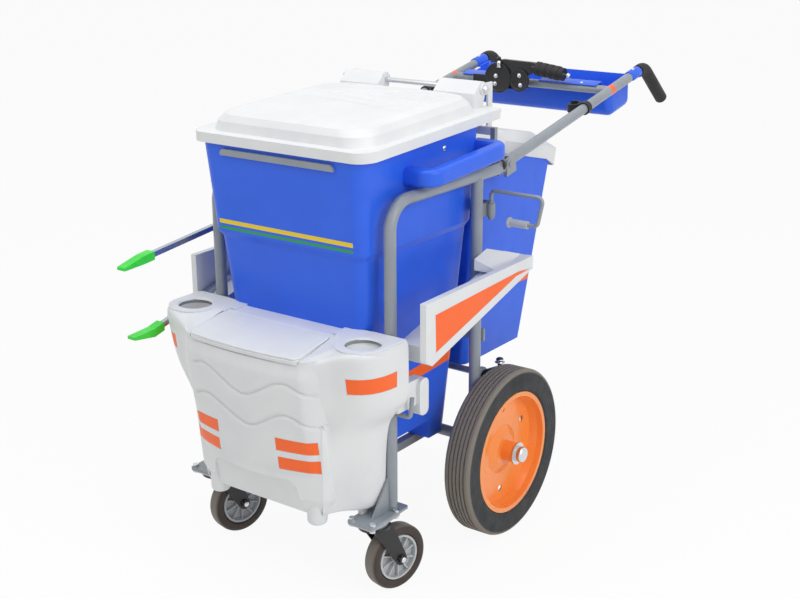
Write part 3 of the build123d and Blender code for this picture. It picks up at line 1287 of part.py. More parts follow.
# Toolbox: tapered body with cup lobes at both sides, a well under the lid, feet and lugs past the legs
BOX_TOP = Plane(
    origin=(0, BOX_SLOPE_Y, BOX_TOP_Z),
    x_dir=(1, 0, 0),
    z_dir=(0, -sin(radians(BOX_SLOPE)), cos(radians(BOX_SLOPE))),
)
BOX_REAR = FRONT_LEG_Y - TUBE_R - SEAT
LID_R = BOX_LID_T / 2
BOX_HINGE = (BOX_LID_REAR - BOX_SLOPE_Y - LID_R, BOX_LID_PROUD - LID_R)
BOX_SECTION = Plane(origin=BOX_TOP.origin, x_dir=BOX_TOP.y_dir, z_dir=BOX_TOP.x_dir)
LID_FRONT = (BOX_FRONT_Y - BOX_SLOPE_Y) / cos(radians(BOX_SLOPE)) - BOX_LID_OVER
with BuildPart() as panel_cutter:
    with BuildSketch(Plane.XZ.offset(-BOX_FRONT)) as outline:
        with BuildLine():
            Polyline(
                (-BOX_PANEL_HALF, BOX_PANEL_TOP),
                (BOX_PANEL_HALF, BOX_PANEL_TOP),
                (BOX_PANEL_HALF + BOX_PANEL_FLARE, BOX_BASE_Z),
                (-BOX_PANEL_HALF - BOX_PANEL_FLARE, BOX_BASE_Z),
                close=True,
            )
        make_face()
        fillet(outline.vertices().group_by(Axis.Y)[-1], BOX_PANEL_R)
    extrude(amount=-BOX_PANEL_LOW_Y + BOX_FRONT, both=True)
    with BuildSketch(Plane.YZ):
        with BuildLine():
            Polyline(
                (2 * BOX_FRONT, BOX_BASE_Z),
                (BOX_PANEL_LOW_Y, BOX_BASE_Z),
                (BOX_PANEL_UP_Y, BOX_PANEL_TOP),
                (2 * BOX_FRONT, BOX_PANEL_TOP),
                close=True,
            )
        make_face()
    extrude(amount=BOX_SIDE, both=True, mode=Mode.INTERSECT)

UPPER_SIZES = ((BOX_TOP_Z, 0), (BOX_WAIST_Z, BOX_SHRINK))
with BuildPart() as groove_cutter:
    for z in WAVE_Z:
        with BuildSketch(Plane.XZ.offset(-BOX_LUG_FRONT)):
            with BuildLine():
                upper = Spline(*wave_line(z))
                lower = Spline(*wave_line(z - WAVE_W))
                Line(upper @ 0, lower @ 0)
                Line(upper @ 1, lower @ 1)
            make_face()
        extrude(amount=BOX_LUG_FRONT - 2 * BOX_FRONT)
    for z, shrink in UPPER_SIZES:
        with BuildSketch(Plane.XY.offset(z)):
            with BuildLine():
                upper_outline(shrink + WAVE_DEPTH)
            make_face()
    loft(ruled=True, mode=Mode.SUBTRACT)
    for z, half, side_y, mid_y in BODY_SIZES:
        with BuildSketch(Plane.XY.offset(z)):
            with BuildLine():
                body_outline(half - WAVE_DEPTH, side_y + WAVE_DEPTH, mid_y + WAVE_DEPTH)
            make_face()
    loft(ruled=True, mode=Mode.SUBTRACT)

with BuildPart() as toolbox:
    for z, shrink in UPPER_SIZES:
        with BuildSketch(Plane.XY.offset(z)):
            with BuildLine():
                upper_outline(shrink)
            make_face()
    loft(ruled=True)
    split(bisect_by=BOX_TOP, keep=Keep.BOTTOM)
    for sign in (1, -1):
        for z, x, y, r in ((LOBE_TOP_Z, LOBE_X, LOBE_Y, LOBE_R), *LOBE_LOWER):
            with BuildSketch(Plane.XY.offset(z)):
                with BuildLine():
                    lobe_outline(sign, x, y, r)
                make_face()
        loft(ruled=True)
    for z, *size in BODY_SIZES:
        with BuildSketch(Plane.XY.offset(z)):
            with BuildLine():
                body_outline(*size)
            make_face()
    loft(ruled=True)
    with BuildSketch(Plane.XY.offset(BOX_BASE_Z)):
        with Locations((0, (BACK_FRONT + BOX_REAR + BACK_CORNER_R) / 2)):
            RectangleRounded(2 * BACK_HALF, BOX_REAR + BACK_CORNER_R - BACK_FRONT, BACK_CORNER_R)
    extrude(amount=BOX_WAIST_Z - BOX_BASE_Z)
    with BuildSketch(Plane.XZ.offset(-BOX_REAR)):
        with Locations((0, BOX_TOP_Z / 2)):
            Rectangle(4 * BOX_SIDE, 2 * BOX_TOP_Z)
    extrude(amount=-2 * BACK_CORNER_R, mode=Mode.SUBTRACT)
    with BuildSketch(Plane.YZ):
        with BuildLine():
            Polyline(
                (bin_size(BOX_BASE_Z)[1] - SEAT, BOX_BASE_Z),
                (bin_size(BIN_STEP_Z)[1] - SEAT, BIN_STEP_Z),
                (REAR_LEG_Y, BIN_STEP_Z),
                (REAR_LEG_Y, BOX_BASE_Z),
                close=True,
            )
        make_face()
    extrude(amount=BIN_STEP_HALF, both=True, mode=Mode.SUBTRACT)
    with BuildSketch(Plane.XZ.offset(-BOX_REAR)):
        with Locations((0, (BOX_HOLLOW_FLOOR_Z + BODY_SIZES[0][0]) / 2)):
            Rectangle(2 * BOX_HOLLOW_HALF, BODY_SIZES[0][0] - BOX_HOLLOW_FLOOR_Z)
    extrude(amount=BOX_HOLLOW_DEPTH, mode=Mode.SUBTRACT)
    add(panel_cutter.part, mode=Mode.SUBTRACT)
    add(groove_cutter.part, mode=Mode.SUBTRACT)
    for z, shrink in ((BOX_TOP_Z, 0), (BOX_WELL_FLOOR_Z, BOX_WELL_SHRINK)):
        with BuildSketch(Plane.XY.offset(z)):
            tub_section((BOX_WELL_HALF - shrink, BOX_WELL_FRONT + shrink, BOX_WELL_REAR), BOX_WELL_R)
    loft(ruled=True, mode=Mode.SUBTRACT)
    with BuildSketch(BOX_TOP.offset(BOX_LID_PROUD - BOX_LID_T - SEAT)):
        with Locations((0, BOX_HINGE[0] + LID_R + BOX_LID_GAP)):
            Rectangle(2 * (BOX_LID_HALF + BOX_LID_GAP), 2 * BOX_SIDE, align=(Align.CENTER, Align.MAX))
    extrude(amount=2 * BOX_LID_T, mode=Mode.SUBTRACT)
    with BuildSketch(Plane.XY.offset(LOBE_TOP_Z)):
        with Locations((LOBE_X, LOBE_Y)):
            Circle(CUP_R)
    extrude(amount=-RIGHT_CUP_DEPTH, mode=Mode.SUBTRACT)
    for z, (x, y, r) in ((LOBE_TOP_Z, (LOBE_X, LOBE_Y, CUP_R)), (LOBE_TOP_Z - LEFT_CUP_DEPTH, CUP_BASE)):
        with BuildSketch(Plane.XY.offset(z)):
            with Locations((-x, y)):
                Circle(r)
    loft(ruled=True, mode=Mode.SUBTRACT)
    for sign in (1, -1):
        with BuildSketch(BOX_SECTION.offset(sign * (BOX_LID_HALF + 2 * BOX_LID_GAP))):
            with Locations(BOX_HINGE):
                Circle(BOX_PIN_R)
        extrude(amount=-sign * BOX_PIN_L)
        with BuildSketch(Plane.XY.offset(BOX_BASE_Z - BOX_FOOT_H)):
            with Locations((sign * BOX_FOOT_X, BOX_FOOT_Y)):
                Circle(BOX_FOOT_R)
        extrude(amount=2 * BOX_FOOT_H)
    fillet(toolbox.edges().group_by(Axis.Z)[0], BOX_FOOT_ROUND)
    for sign in (1, -1):
        with BuildSketch(Plane.XY.offset(PLATE_TOP_Z + SEAT)):
            with Locations((sign * (BACK_HALF - LID_R), CASTER_Y)):
                Rectangle(BOX_LID_T, BACK_CORNER_R)
        extrude(amount=BOX_BASE_Z - PLATE_TOP_Z)
        with BuildSketch(Plane.YZ.offset(sign * BOX_LUG_IN)):
            with Locations(((BOX_LUG_FRONT + BOX_LUG_REAR) / 2, (BOX_LUG_Z + BOX_LUG_TOP) / 2)):
                RectangleRounded(BOX_LUG_REAR - BOX_LUG_FRONT, BOX_LUG_TOP - BOX_LUG_Z, BOX_LUG_R)
        extrude(amount=sign * (BOX_LUG_OUT - BOX_LUG_IN))
        with BuildSketch(Plane.YZ.offset(sign * BOX_LUG_IN)):
            with Locations(((BOX_REAR + BOX_LUG_FRONT) / 2, (BOX_LUG_ARM_Z + BOX_LUG_TOP) / 2)):
                Rectangle(BOX_LUG_FRONT - BOX_REAR + 2 * BOX_LUG_R, BOX_LUG_TOP - BOX_LUG_ARM_Z)
        extrude(amount=sign * (BOX_LUG_ARM_OUT - BOX_LUG_IN))
save(toolbox, "toolbox")

# Toolbox lid: a flat panel with a rounded rear edge that turns on the box's two pins
with BuildPart() as toolbox_lid:
    with BuildSketch(BOX_TOP.offset(BOX_LID_PROUD - BOX_LID_T)) as outline:
        with BuildLine():
            ThreePointArc(
                (-BOX_LID_HALF, LID_FRONT),
                (0, LID_FRONT + BOX_FRONT - BOX_FRONT_Y),
                (BOX_LID_HALF, LID_FRONT),
            )
            Polyline(
                (BOX_LID_HALF, LID_FRONT),
                (BOX_LID_HALF, BOX_HINGE[0]),
                (-BOX_LID_HALF, BOX_HINGE[0]),
                (-BOX_LID_HALF, LID_FRONT),
            )
        make_face()
        fillet(outline.vertices().group_by(Axis.Y)[0], BOX_LID_CORNER_R)
    extrude(amount=BOX_LID_T)
    lid_levels = toolbox_lid.edges().group_by(Axis(BOX_TOP.origin, BOX_TOP.z_dir))
    fillet(lid_levels[-1], BOX_LID_ROUND)
    with BuildSketch(BOX_SECTION.offset(-BOX_LID_HALF)):
        with Locations(BOX_HINGE):
            Circle(LID_R)
    extrude(amount=2 * BOX_LID_HALF)
    for sign in (1, -1):
        with BuildSketch(BOX_SECTION.offset(sign * BOX_LID_HALF)):
            with Locations(BOX_HINGE):
                Circle(BOX_PIN_R + RUN)
        extrude(amount=-sign * BOX_PIN_L, mode=Mode.SUBTRACT)
save(toolbox_lid, "toolbox_lid")


def on_line(line, y):
    """Height at y of a straight line given by two (y, z) points."""
    (y0, z0), (y1, z1) = line
    return lerp(z0, z1, (y - y0) / (y1 - y0))


def bar_profile(line, width):
    """Four corners of a straight bar of this width about a centre line of two (y, z) points."""
    (y0, z0), (y1, z1) = line
    lean = atan2(z1 - z0, y1 - y0)
    dy = -sin(lean) * width / 2
    dz = cos(lean) * width / 2
    return [(y0 + dy, z0 + dz), (y1 + dy, z1 + dz), (y1 - dy, z1 - dz), (y0 - dy, z0 - dz)]


# Side wings: outer panel, sloping floor and a raised shoulder beside the rear leg
WING_X = FRAME_HALF + TUBE_R + SEAT
WING_REAR_FLOOR = WING_FLOOR_Z + WING_FLOOR_RISE
FLOOR_LINE = ((WING_FLOOR_Y, WING_FLOOR_Z), (WING_REAR, WING_REAR_FLOOR))
for side, sign in SIDES:
    with BuildPart() as wing:
        with BuildSketch(Plane.YZ.offset(sign * WING_PANEL_X)):
            with BuildLine():
                Polyline(
                    (WING_FRONT, WING_TOP),
                    (WING_FRONT, WING_FRONT_LOW),
                    (WING_TOE_Y, WING_TOE_Z),
                    (WING_REAR, WING_REAR_LOW),
                    (WING_REAR, WING_TOP + WING_TOP_RISE),
                    close=True,
                )
            make_face()
        extrude(amount=sign * WING_PANEL_T)
        with BuildSketch(Plane.YZ.offset(sign * WING_X)):
            with BuildLine():
                Polyline(
                    (WING_FLOOR_Y, WING_FLOOR_Z),
                    (WING_TOE_Y, WING_TOE_Z),
                    (WING_REAR, WING_REAR_LOW),
                    (WING_REAR, WING_REAR_FLOOR),
                    close=True,
                )
            make_face()
        extrude(amount=sign * (WING_PANEL_X - WING_X))
        outer = (
            (SHOULDER_OUT_Y, WING_REAR_LOW),
            (SHOULDER_OUT_Y, on_line(FLOOR_LINE, SHOULDER_OUT_Y)),
            (WING_REAR, WING_REAR_FLOOR),
            (WING_REAR, WING_REAR_LOW),
        )
        for x, profile in ((WING_X, SHOULDER), (SHOULDER_OUT_X, outer)):
            with BuildSketch(Plane.YZ.offset(sign * x)):
                with BuildLine():
                    Polyline(*profile, close=True)
                make_face()
        loft(ruled=True)
    save(wing, f"wing_{side}")

# Push handle: bent tubes, in a plane that follows their slope
HANDLE_PLANE = Plane(
    origin=(0, HANDLE_START_Y, HANDLE_START_Z),
    x_dir=(1, 0, 0),
    z_dir=(0, -sin(SLOPE), cos(SLOPE)),
)
HANDLE_SIDE = Plane(origin=HANDLE_PLANE.origin, x_dir=HANDLE_PLANE.y_dir, z_dir=HANDLE_PLANE.x_dir)
HANDLE_ALONG = Plane(origin=HANDLE_PLANE.origin, x_dir=HANDLE_PLANE.x_dir, z_dir=-HANDLE_PLANE.y_dir)
HANDLE_R = HANDLE_OD / 2
GRIP_TURN = radians(HANDLE_SLOPE + GRIP_FALL)
GRIP_TIP = (HANDLE_LENGTH + GRIP_LENGTH * cos(GRIP_TURN), -GRIP_LENGTH * sin(GRIP_TURN))
for side, sign in SIDES:
    with BuildPart() as handle_tube:
        with BuildLine(HANDLE_SIDE.offset(sign * FRAME_HALF)):
            FilletPolyline((HANDLE_TUBE_AT, 0), (HANDLE_LENGTH, 0), GRIP_TIP, radius=GRIP_BEND_R)
        with BuildSketch(HANDLE_ALONG.offset(-HANDLE_TUBE_AT)):
            with Locations((sign * FRAME_HALF, 0)):
                ring(HANDLE_R, HANDLE_WALL)
        sweep()
    save(handle_tube, f"handle_tube_{side}")

with BuildPart() as grips:
    for side, sign in SIDES:
        with BuildLine(HANDLE_SIDE.offset(sign * FRAME_HALF)):
            grip_start = (HANDLE_LENGTH - GRIP_COVER, 0)
            FilletPolyline(grip_start, (HANDLE_LENGTH, 0), GRIP_TIP, radius=GRIP_BEND_R)
        with BuildSketch(HANDLE_ALONG.offset(GRIP_COVER - HANDLE_LENGTH)):
            with Locations((sign * FRAME_HALF, 0)):
                ring(GRIP_OD / 2, GRIP_OD / 2 - HANDLE_R)
        sweep()
        tip = HANDLE_SIDE.offset(sign * FRAME_HALF).from_local_coords((*GRIP_TIP, 0))
        run = HANDLE_PLANE.y_dir * cos(GRIP_TURN) - HANDLE_PLANE.z_dir * sin(GRIP_TURN)
        with BuildSketch(Plane(origin=tip, z_dir=run)):
            Circle(GRIP_OD / 2)
        extrude(amount=GRIP_END)
save(grips, "grips")

with BuildPart() as crossbar:
    with BuildSketch(HANDLE_SIDE.offset(-FRAME_HALF)):
        with Locations((CROSSBAR_AT, 0)):
            ring(CROSSBAR_OD / 2, HANDLE_WALL)
    extrude(amount=2 * FRAME_HALF)
    with BuildSketch(HANDLE_ALONG.offset(-CROSSBAR_AT)):
        with Locations((FRAME_HALF, 0), (-FRAME_HALF, 0)):
            Circle(HANDLE_R)
    extrude(amount=CROSSBAR_OD, both=True, mode=Mode.SUBTRACT)
save(crossbar, "crossbar")

# Saddles on the tubes' ends: cheeks on both sides of the rails' tongues, with a tab that stops on the cap
with BuildPart() as saddles:
    for side, sign in SIDES:
        middle = HANDLE_SIDE.offset(sign * FRAME_HALF)
        with BuildSketch(middle):
            with Locations((FOLD_AT, 0)):
                Circle(FOLD_EYE_R)
            with Locations(((FOLD_AT + SADDLE_END) / 2, 0)):
                Rectangle(SADDLE_END - FOLD_AT, 2 * FOLD_EYE_R)
            with Locations((0, -SADDLE_DROP / 2)):
                Rectangle(2 * SADDLE_END, SADDLE_DROP)
        extrude(amount=SADDLE_HALF, both=True)
        with BuildSketch(middle):
            with Locations((FOLD_AT + TONGUE_R + GAP - SADDLE_END, 0)):
                Rectangle(2 * SADDLE_END, 4 * SADDLE_DROP)
        extrude(amount=TONGUE_T / 2 + GAP, both=True, mode=Mode.SUBTRACT)
        with BuildSketch(middle):
            with Locations((FOLD_AT, 0)):
                Circle(FOLD_PIN_R + RUN)
        extrude(amount=2 * SADDLE_HALF, both=True, mode=Mode.SUBTRACT)
        with BuildSketch(HANDLE_ALONG.offset(-HANDLE_TUBE_AT)):
            with Locations((sign * FRAME_HALF, 0)):
                Circle(HANDLE_R)
        extrude(amount=-2 * SADDLE_END, mode=Mode.SUBTRACT)
        with BuildSketch(Plane.XZ.offset(-RAIL_END_Y - STOP_T - GAP)):
            with Locations((sign * FRAME_HALF, HANDLE_START_Z)):
                Rectangle(4 * HANDLE_R, 4 * SADDLE_DROP)
        extrude(amount=2 * SADDLE_END, mode=Mode.SUBTRACT)
save(saddles, "saddles")

# Tray hung between the tubes behind the crossbar
with BuildPart() as handle_tray:
    for inset, mode in ((0, Mode.ADD), (TRAY_WALL, Mode.SUBTRACT)):
        with BuildSketch(HANDLE_SIDE):
            with BuildLine():
                Polyline(
                    (TRAY_FRONT + inset, -TRAY_RIM),
                    (TRAY_REAR - inset, -TRAY_RIM),
                    (TRAY_BASE_REAR - inset, inset - TRAY_DEPTH),
                    (TRAY_BASE_FRONT + inset, inset - TRAY_DEPTH),
                    close=True,
                )
            make_face()
        extrude(amount=TRAY_HALF - inset, both=True, mode=mode)
    for side, sign in SIDES:
        with BuildSketch(HANDLE_ALONG.offset(-TRAY_TAB_FRONT)):
            with Locations((sign * FRAME_HALF, 0)):
                Circle(HANDLE_R + TRAY_TAB_T)
            with Locations((sign * (FRAME_HALF + TRAY_HALF - TRAY_WALL) / 2, TRAY_TAB_T - TRAY_RIM)):
                Rectangle(FRAME_HALF - TRAY_HALF + TRAY_WALL, 2 * TRAY_TAB_T)
            with Locations((sign * FRAME_HALF, -FRAME_HALF - TRAY_RIM)):
                Rectangle(2 * FRAME_HALF, 2 * FRAME_HALF, mode=Mode.SUBTRACT)
            with Locations((sign * FRAME_HALF, 0)):
                Circle(HANDLE_R, mode=Mode.SUBTRACT)
        extrude(amount=TRAY_TAB_FRONT - TRAY_REAR)
        with BuildSketch(HANDLE_SIDE.offset(sign * TRAY_FLANGE_X)):
            with Locations((TRAY_FRONT + TRAY_WALL / 2, (CROSSBAR_OD / 2 - TRAY_RIM) / 2)):
                Rectangle(TRAY_WALL, CROSSBAR_OD / 2 + TRAY_RIM)
            with Locations((CROSSBAR_AT - CROSSBAR_OD / 2, CROSSBAR_OD / 2)):
                Rectangle(TRAY_FRONT + TRAY_WALL - CROSSBAR_AT + CROSSBAR_OD / 2, TRAY_TAB_T, align=Align.MIN)
        extrude(amount=TRAY_FLANGE_W / 2, both=True)
save(handle_tray, "handle_tray")

# Spring clips on the handle tubes
with BuildPart() as tool_clips:
    for side, sign in SIDES:
        jaw_x = sign * (FRAME_HALF - HANDLE_R - CLIP_T - CLIP_JAW_R)
        with BuildSketch(HANDLE_ALONG.offset(-CLIP_AT)):
            with Locations((sign * FRAME_HALF, 0)):
                Circle(HANDLE_R + CLIP_T)
        extrude(amount=CLIP_STRAP_W / 2, both=True)
        with BuildSketch(HANDLE_PLANE):
            with Locations((jaw_x, CLIP_AT)):
                Circle(CLIP_JAW_R + CLIP_T)
                Circle(CLIP_JAW_R, mode=Mode.SUBTRACT)
            with Locations((jaw_x - sign * CLIP_JAW_R, CLIP_AT)):
                Rectangle(CLIP_JAW_R, CLIP_MOUTH, mode=Mode.SUBTRACT)
        extrude(amount=CLIP_W / 2, both=True)
        with BuildSketch(HANDLE_ALONG.offset(-CLIP_AT)):
            with Locations((sign * FRAME_HALF, 0)):
                Circle(HANDLE_R)
        extrude(amount=CLIP_JAW_R + CLIP_T, both=True, mode=Mode.SUBTRACT)
save(tool_clips, "tool_clips")

# Brake lever: ratchet plate on the crossbar, the lever on its pin, the grip and the release button
BAR_AT = HANDLE_PLANE.from_local_coords(Vector(0, CROSSBAR_AT, 0))
RATCHET_Y = BAR_AT.Y - CROSSBAR_OD / 2 - RATCHET_STAND
LEVER_Z = BAR_AT.Z + LEVER_RISE
LEVER_FACE_Y = RATCHET_Y - RATCHET_T - GAP
with BuildPart() as brake_base:
    with BuildSketch(Plane.XZ.offset(-RATCHET_Y)):
        with Locations((LEVER_X, LEVER_Z)):
            Circle(RATCHET_R)
        with Locations(((RATCHET_TAB_X + LEVER_X) / 2, LEVER_Z)):
            Rectangle(LEVER_X - RATCHET_TAB_X, RATCHET_TAB_H)
        with Locations((LINK_X, LEVER_Z)):
            Circle(LINK_R)
        with Locations(((LEVER_X + LINK_X) / 2, LEVER_Z - LINK_R / 2)):
            Rectangle(LINK_X - LEVER_X, LINK_R)
    extrude(amount=RATCHET_T)
    for x in (LEVER_X, LINK_X):
        with BuildSketch(Plane.YZ.offset(x)):
            with Locations((BAR_AT.Y, BAR_AT.Z)):
                Circle(CROSSBAR_OD / 2 + CLAMP_T)
            with Locations(((BAR_AT.Y + RATCHET_Y) / 2, BAR_AT.Z)):
                Rectangle(BAR_AT.Y - RATCHET_Y, CROSSBAR_OD)
            with Locations((BAR_AT.Y, BAR_AT.Z)):
                Circle(CROSSBAR_OD / 2, mode=Mode.SUBTRACT)
        extrude(amount=LINK_R / 2, both=True)
    for y, r, length in (
        (RATCHET_Y - RATCHET_T, LEVER_PIVOT_R, LEVER_T + 2 * GAP),
        (LEVER_FACE_Y - LEVER_T - GAP, 2 * LEVER_PIVOT_R, CLAMP_T),
    ):
        with BuildSketch(Plane.XZ.offset(-y)):
            with Locations((LEVER_X, LEVER_Z)):
                Circle(r)
        extrude(amount=length)
save(brake_base, "brake_base")

with BuildPart() as brake_lever:
    with BuildSketch(Plane.XZ.offset(-LEVER_FACE_Y)):
        with Locations((LEVER_X, LEVER_Z)):
            Circle(LEVER_EYE_R)
        with Locations((LEVER_TOP_X, LEVER_Z + LEVER_TOP_Z)):
            Circle(LEVER_TOP_R)
        with Locations((LEVER_NECK_X, LEVER_Z + LEVER_GRIP_Z)):
            Circle(LEVER_TOP_R)
        make_hull()
        with Locations((LEVER_X, LEVER_Z)):
            Circle(LEVER_PIVOT_R + RUN, mode=Mode.SUBTRACT)
    extrude(amount=LEVER_T)
    grip_dir = Vector(LEVER_GRIP_X - LEVER_NECK_X, 0, LEVER_GRIP_END_Z - LEVER_GRIP_Z)
    neck = Vector(LEVER_NECK_X, LEVER_FACE_Y - LEVER_T / 2, LEVER_Z + LEVER_GRIP_Z)
    with BuildSketch(Plane(origin=neck, z_dir=grip_dir)):
        Circle(LEVER_BAR_R)
    extrude(amount=grip_dir.length)
    with BuildSketch(Plane(origin=neck + grip_dir, z_dir=grip_dir)):
        Circle(BUTTON_ROD_R + RUN)
    extrude(amount=-BUTTON_ROD_L - BUTTON_STROKE - GAP, mode=Mode.SUBTRACT)
    with BuildSketch(Plane.XY.offset(LEVER_Z + LEVER_TOP_Z)):
        with Locations((KNOB_X, LEVER_FACE_Y - LEVER_T / 2)):
            Circle(KNOB_R / 2)
    extrude(amount=KNOB_Z - LEVER_TOP_Z)
    with Locations((KNOB_X, LEVER_FACE_Y - LEVER_T / 2, LEVER_Z + KNOB_Z)):
        Sphere(KNOB_R)
save(brake_lever, "brake_lever")

with BuildPart() as lever_grip:
    grip_start = neck + grip_dir.normalized() * LEVER_TOP_R
    with BuildSketch(Plane(origin=grip_start, z_dir=grip_dir)):
        ring(LEVER_GRIP_R, LEVER_GRIP_R - LEVER_BAR_R)
    extrude(amount=grip_dir.length - LEVER_TOP_R)
save(lever_grip, "lever_grip")

with BuildPart() as lever_button:
    with BuildSketch(Plane(origin=neck + grip_dir, z_dir=grip_dir)):
        Circle(BUTTON_ROD_R)
    extrude(amount=BUTTON_STROKE + BUTTON_R)
    with BuildSketch(Plane(origin=neck + grip_dir, z_dir=grip_dir)):
        Circle(BUTTON_ROD_R)
    extrude(amount=-BUTTON_ROD_L)
    with Locations(neck + grip_dir + grip_dir.normalized() * (BUTTON_STROKE + BUTTON_R)):
        Sphere(BUTTON_R)
save(lever_button, "lever_button")

# Tyre brake: a shaft behind the main bin with arms beside the tyres that carry the shoes on cross bars
ARM_X = FRAME_HALF + BRACKET_T / 2 + GAP
SHOE_IN_R = WHEEL_D / 2 + SHOE_CLEAR
SHOE_BAR_R = SHOE_IN_R + SHOE_T + SHOE_BAR_W
SHOE_MID = TYRE_INNER_X + SHOE_W / 2
SHOE_LEAN = radians(SHOE_ANGLE)
SHOE_PLANE = Plane(origin=(0, 0, AXLE_Z), x_dir=(0, cos(SHOE_LEAN), -sin(SHOE_LEAN)), z_dir=(1, 0, 0))
SHOE_BAR = (SHOE_BAR_R * sin(SHOE_LEAN), AXLE_Z + SHOE_BAR_R * cos(SHOE_LEAN))
with BuildPart() as brake_shaft:
    with BuildSketch(Plane.YZ.offset(-ARM_X)):
        with Locations((BRAKE_SHAFT_Y, BRAKE_SHAFT_Z)):
            Circle(BRAKE_SHAFT_R)
    extrude(amount=2 * ARM_X)
save(brake_shaft, "brake_shaft")

with BuildPart() as brake_arms:
    for side, sign in SIDES:
        stud = (BRAKE_STUD_Y, BRAKE_STUD_Z)
        for ends in (((BRAKE_SHAFT_Y, BRAKE_SHAFT_Z), stud), (stud, SHOE_BAR)):
            with BuildSketch(Plane.YZ.offset(sign * ARM_X)):
                with Locations(*ends):
                    Circle(BRAKE_ARM_R)
                make_hull()
            extrude(amount=sign * BRAKE_ARM_T)
        with BuildSketch(Plane.YZ.offset(sign * ARM_X)):
            with Locations(SHOE_BAR):
                Circle(SHOE_BAR_W)
        extrude(amount=sign * (SHOE_MID + SHOE_W / 2 - ARM_X))
        stud_x = sign * (ARM_X + BRAKE_ARM_T / 2)
        for z, length, r in (
            (BRAKE_STUD_Z, BRAKE_STUD_TOP - BRAKE_STUD_Z, BRAKE_STUD_R),
            (BRAKE_STUD_TOP - BRAKE_NUT_R, BRAKE_NUT_R, BRAKE_NUT_R),
        ):
            with BuildSketch(Plane.XY.offset(z)):
                with Locations((stud_x, BRAKE_STUD_Y)):
                    Circle(r)
            extrude(amount=length)
    fillet(brake_arms.edges().group_by(Axis.Z)[-1], BRAKE_NUT_R / 2)
save(brake_arms, "brake_arms")

with BuildPart() as brake_shoes:
    for side, sign in SIDES:
        with BuildSketch(SHOE_PLANE.offset(sign * SHOE_MID)):
            with Locations((0, SHOE_IN_R)):
                Rectangle(SHOE_L, 2 * SHOE_T)
            Circle(SHOE_IN_R, mode=Mode.SUBTRACT)
        extrude(amount=SHOE_W / 2, both=True)
save(brake_shoes, "brake_shoes")

# Swing arm on the right rear leg: a bent wire with a sleeve on its free end
ARM_AT = Plane.XZ.offset(-ARM_PIVOT_Y)
SLEEVE_END_X = ARM_PIVOT_X + ARM_REACH - ARM_LEAN
with BuildPart() as swing_wire:
    with BuildLine(ARM_AT):
        FilletPolyline(
            (ARM_PIVOT_X, ARM_FOOT_Z),
            (ARM_PIVOT_X, ARM_TOP_Z),
            (ARM_PIVOT_X + ARM_REACH, ARM_TOP_Z),
            (SLEEVE_END_X, SLEEVE_Z),
            (SLEEVE_END_X - SLEEVE_L - ARM_BEND_R, SLEEVE_Z),
            radius=ARM_BEND_R,
        )
    with BuildSketch(Plane.XY.offset(ARM_FOOT_Z)):
        with Locations((ARM_PIVOT_X, ARM_PIVOT_Y)):
            Circle(ARM_WIRE_R)
    sweep()
    for z in (UPPER_BAR_Z + BAR_H / 2 + GAP, UPPER_BAR_Z - BAR_H / 2 - GAP - ARM_WIRE_R):
        with BuildSketch(Plane.XY.offset(z)):
            with Locations((ARM_PIVOT_X, ARM_PIVOT_Y)):
                Circle(1.6 * ARM_WIRE_R)
        extrude(amount=ARM_WIRE_R)
save(swing_wire, "swing_wire")

with BuildPart() as swing_sleeve:
    sleeve_x = SLEEVE_END_X - 2 * ARM_BEND_R
    for x, r, length in (
        (sleeve_x, SLEEVE_R, SLEEVE_L - ARM_BEND_R),
        (sleeve_x - SLEEVE_L + ARM_BEND_R, SLEEVE_FLANGE_R, SLEEVE_FLANGE_T),
    ):
        with BuildSketch(Plane.YZ.offset(x)):
            with Locations((ARM_PIVOT_Y, SLEEVE_Z)):
                Circle(r)
                Circle(ARM_WIRE_R, mode=Mode.SUBTRACT)
        extrude(amount=-length)
save(swing_sleeve, "swing_sleeve")

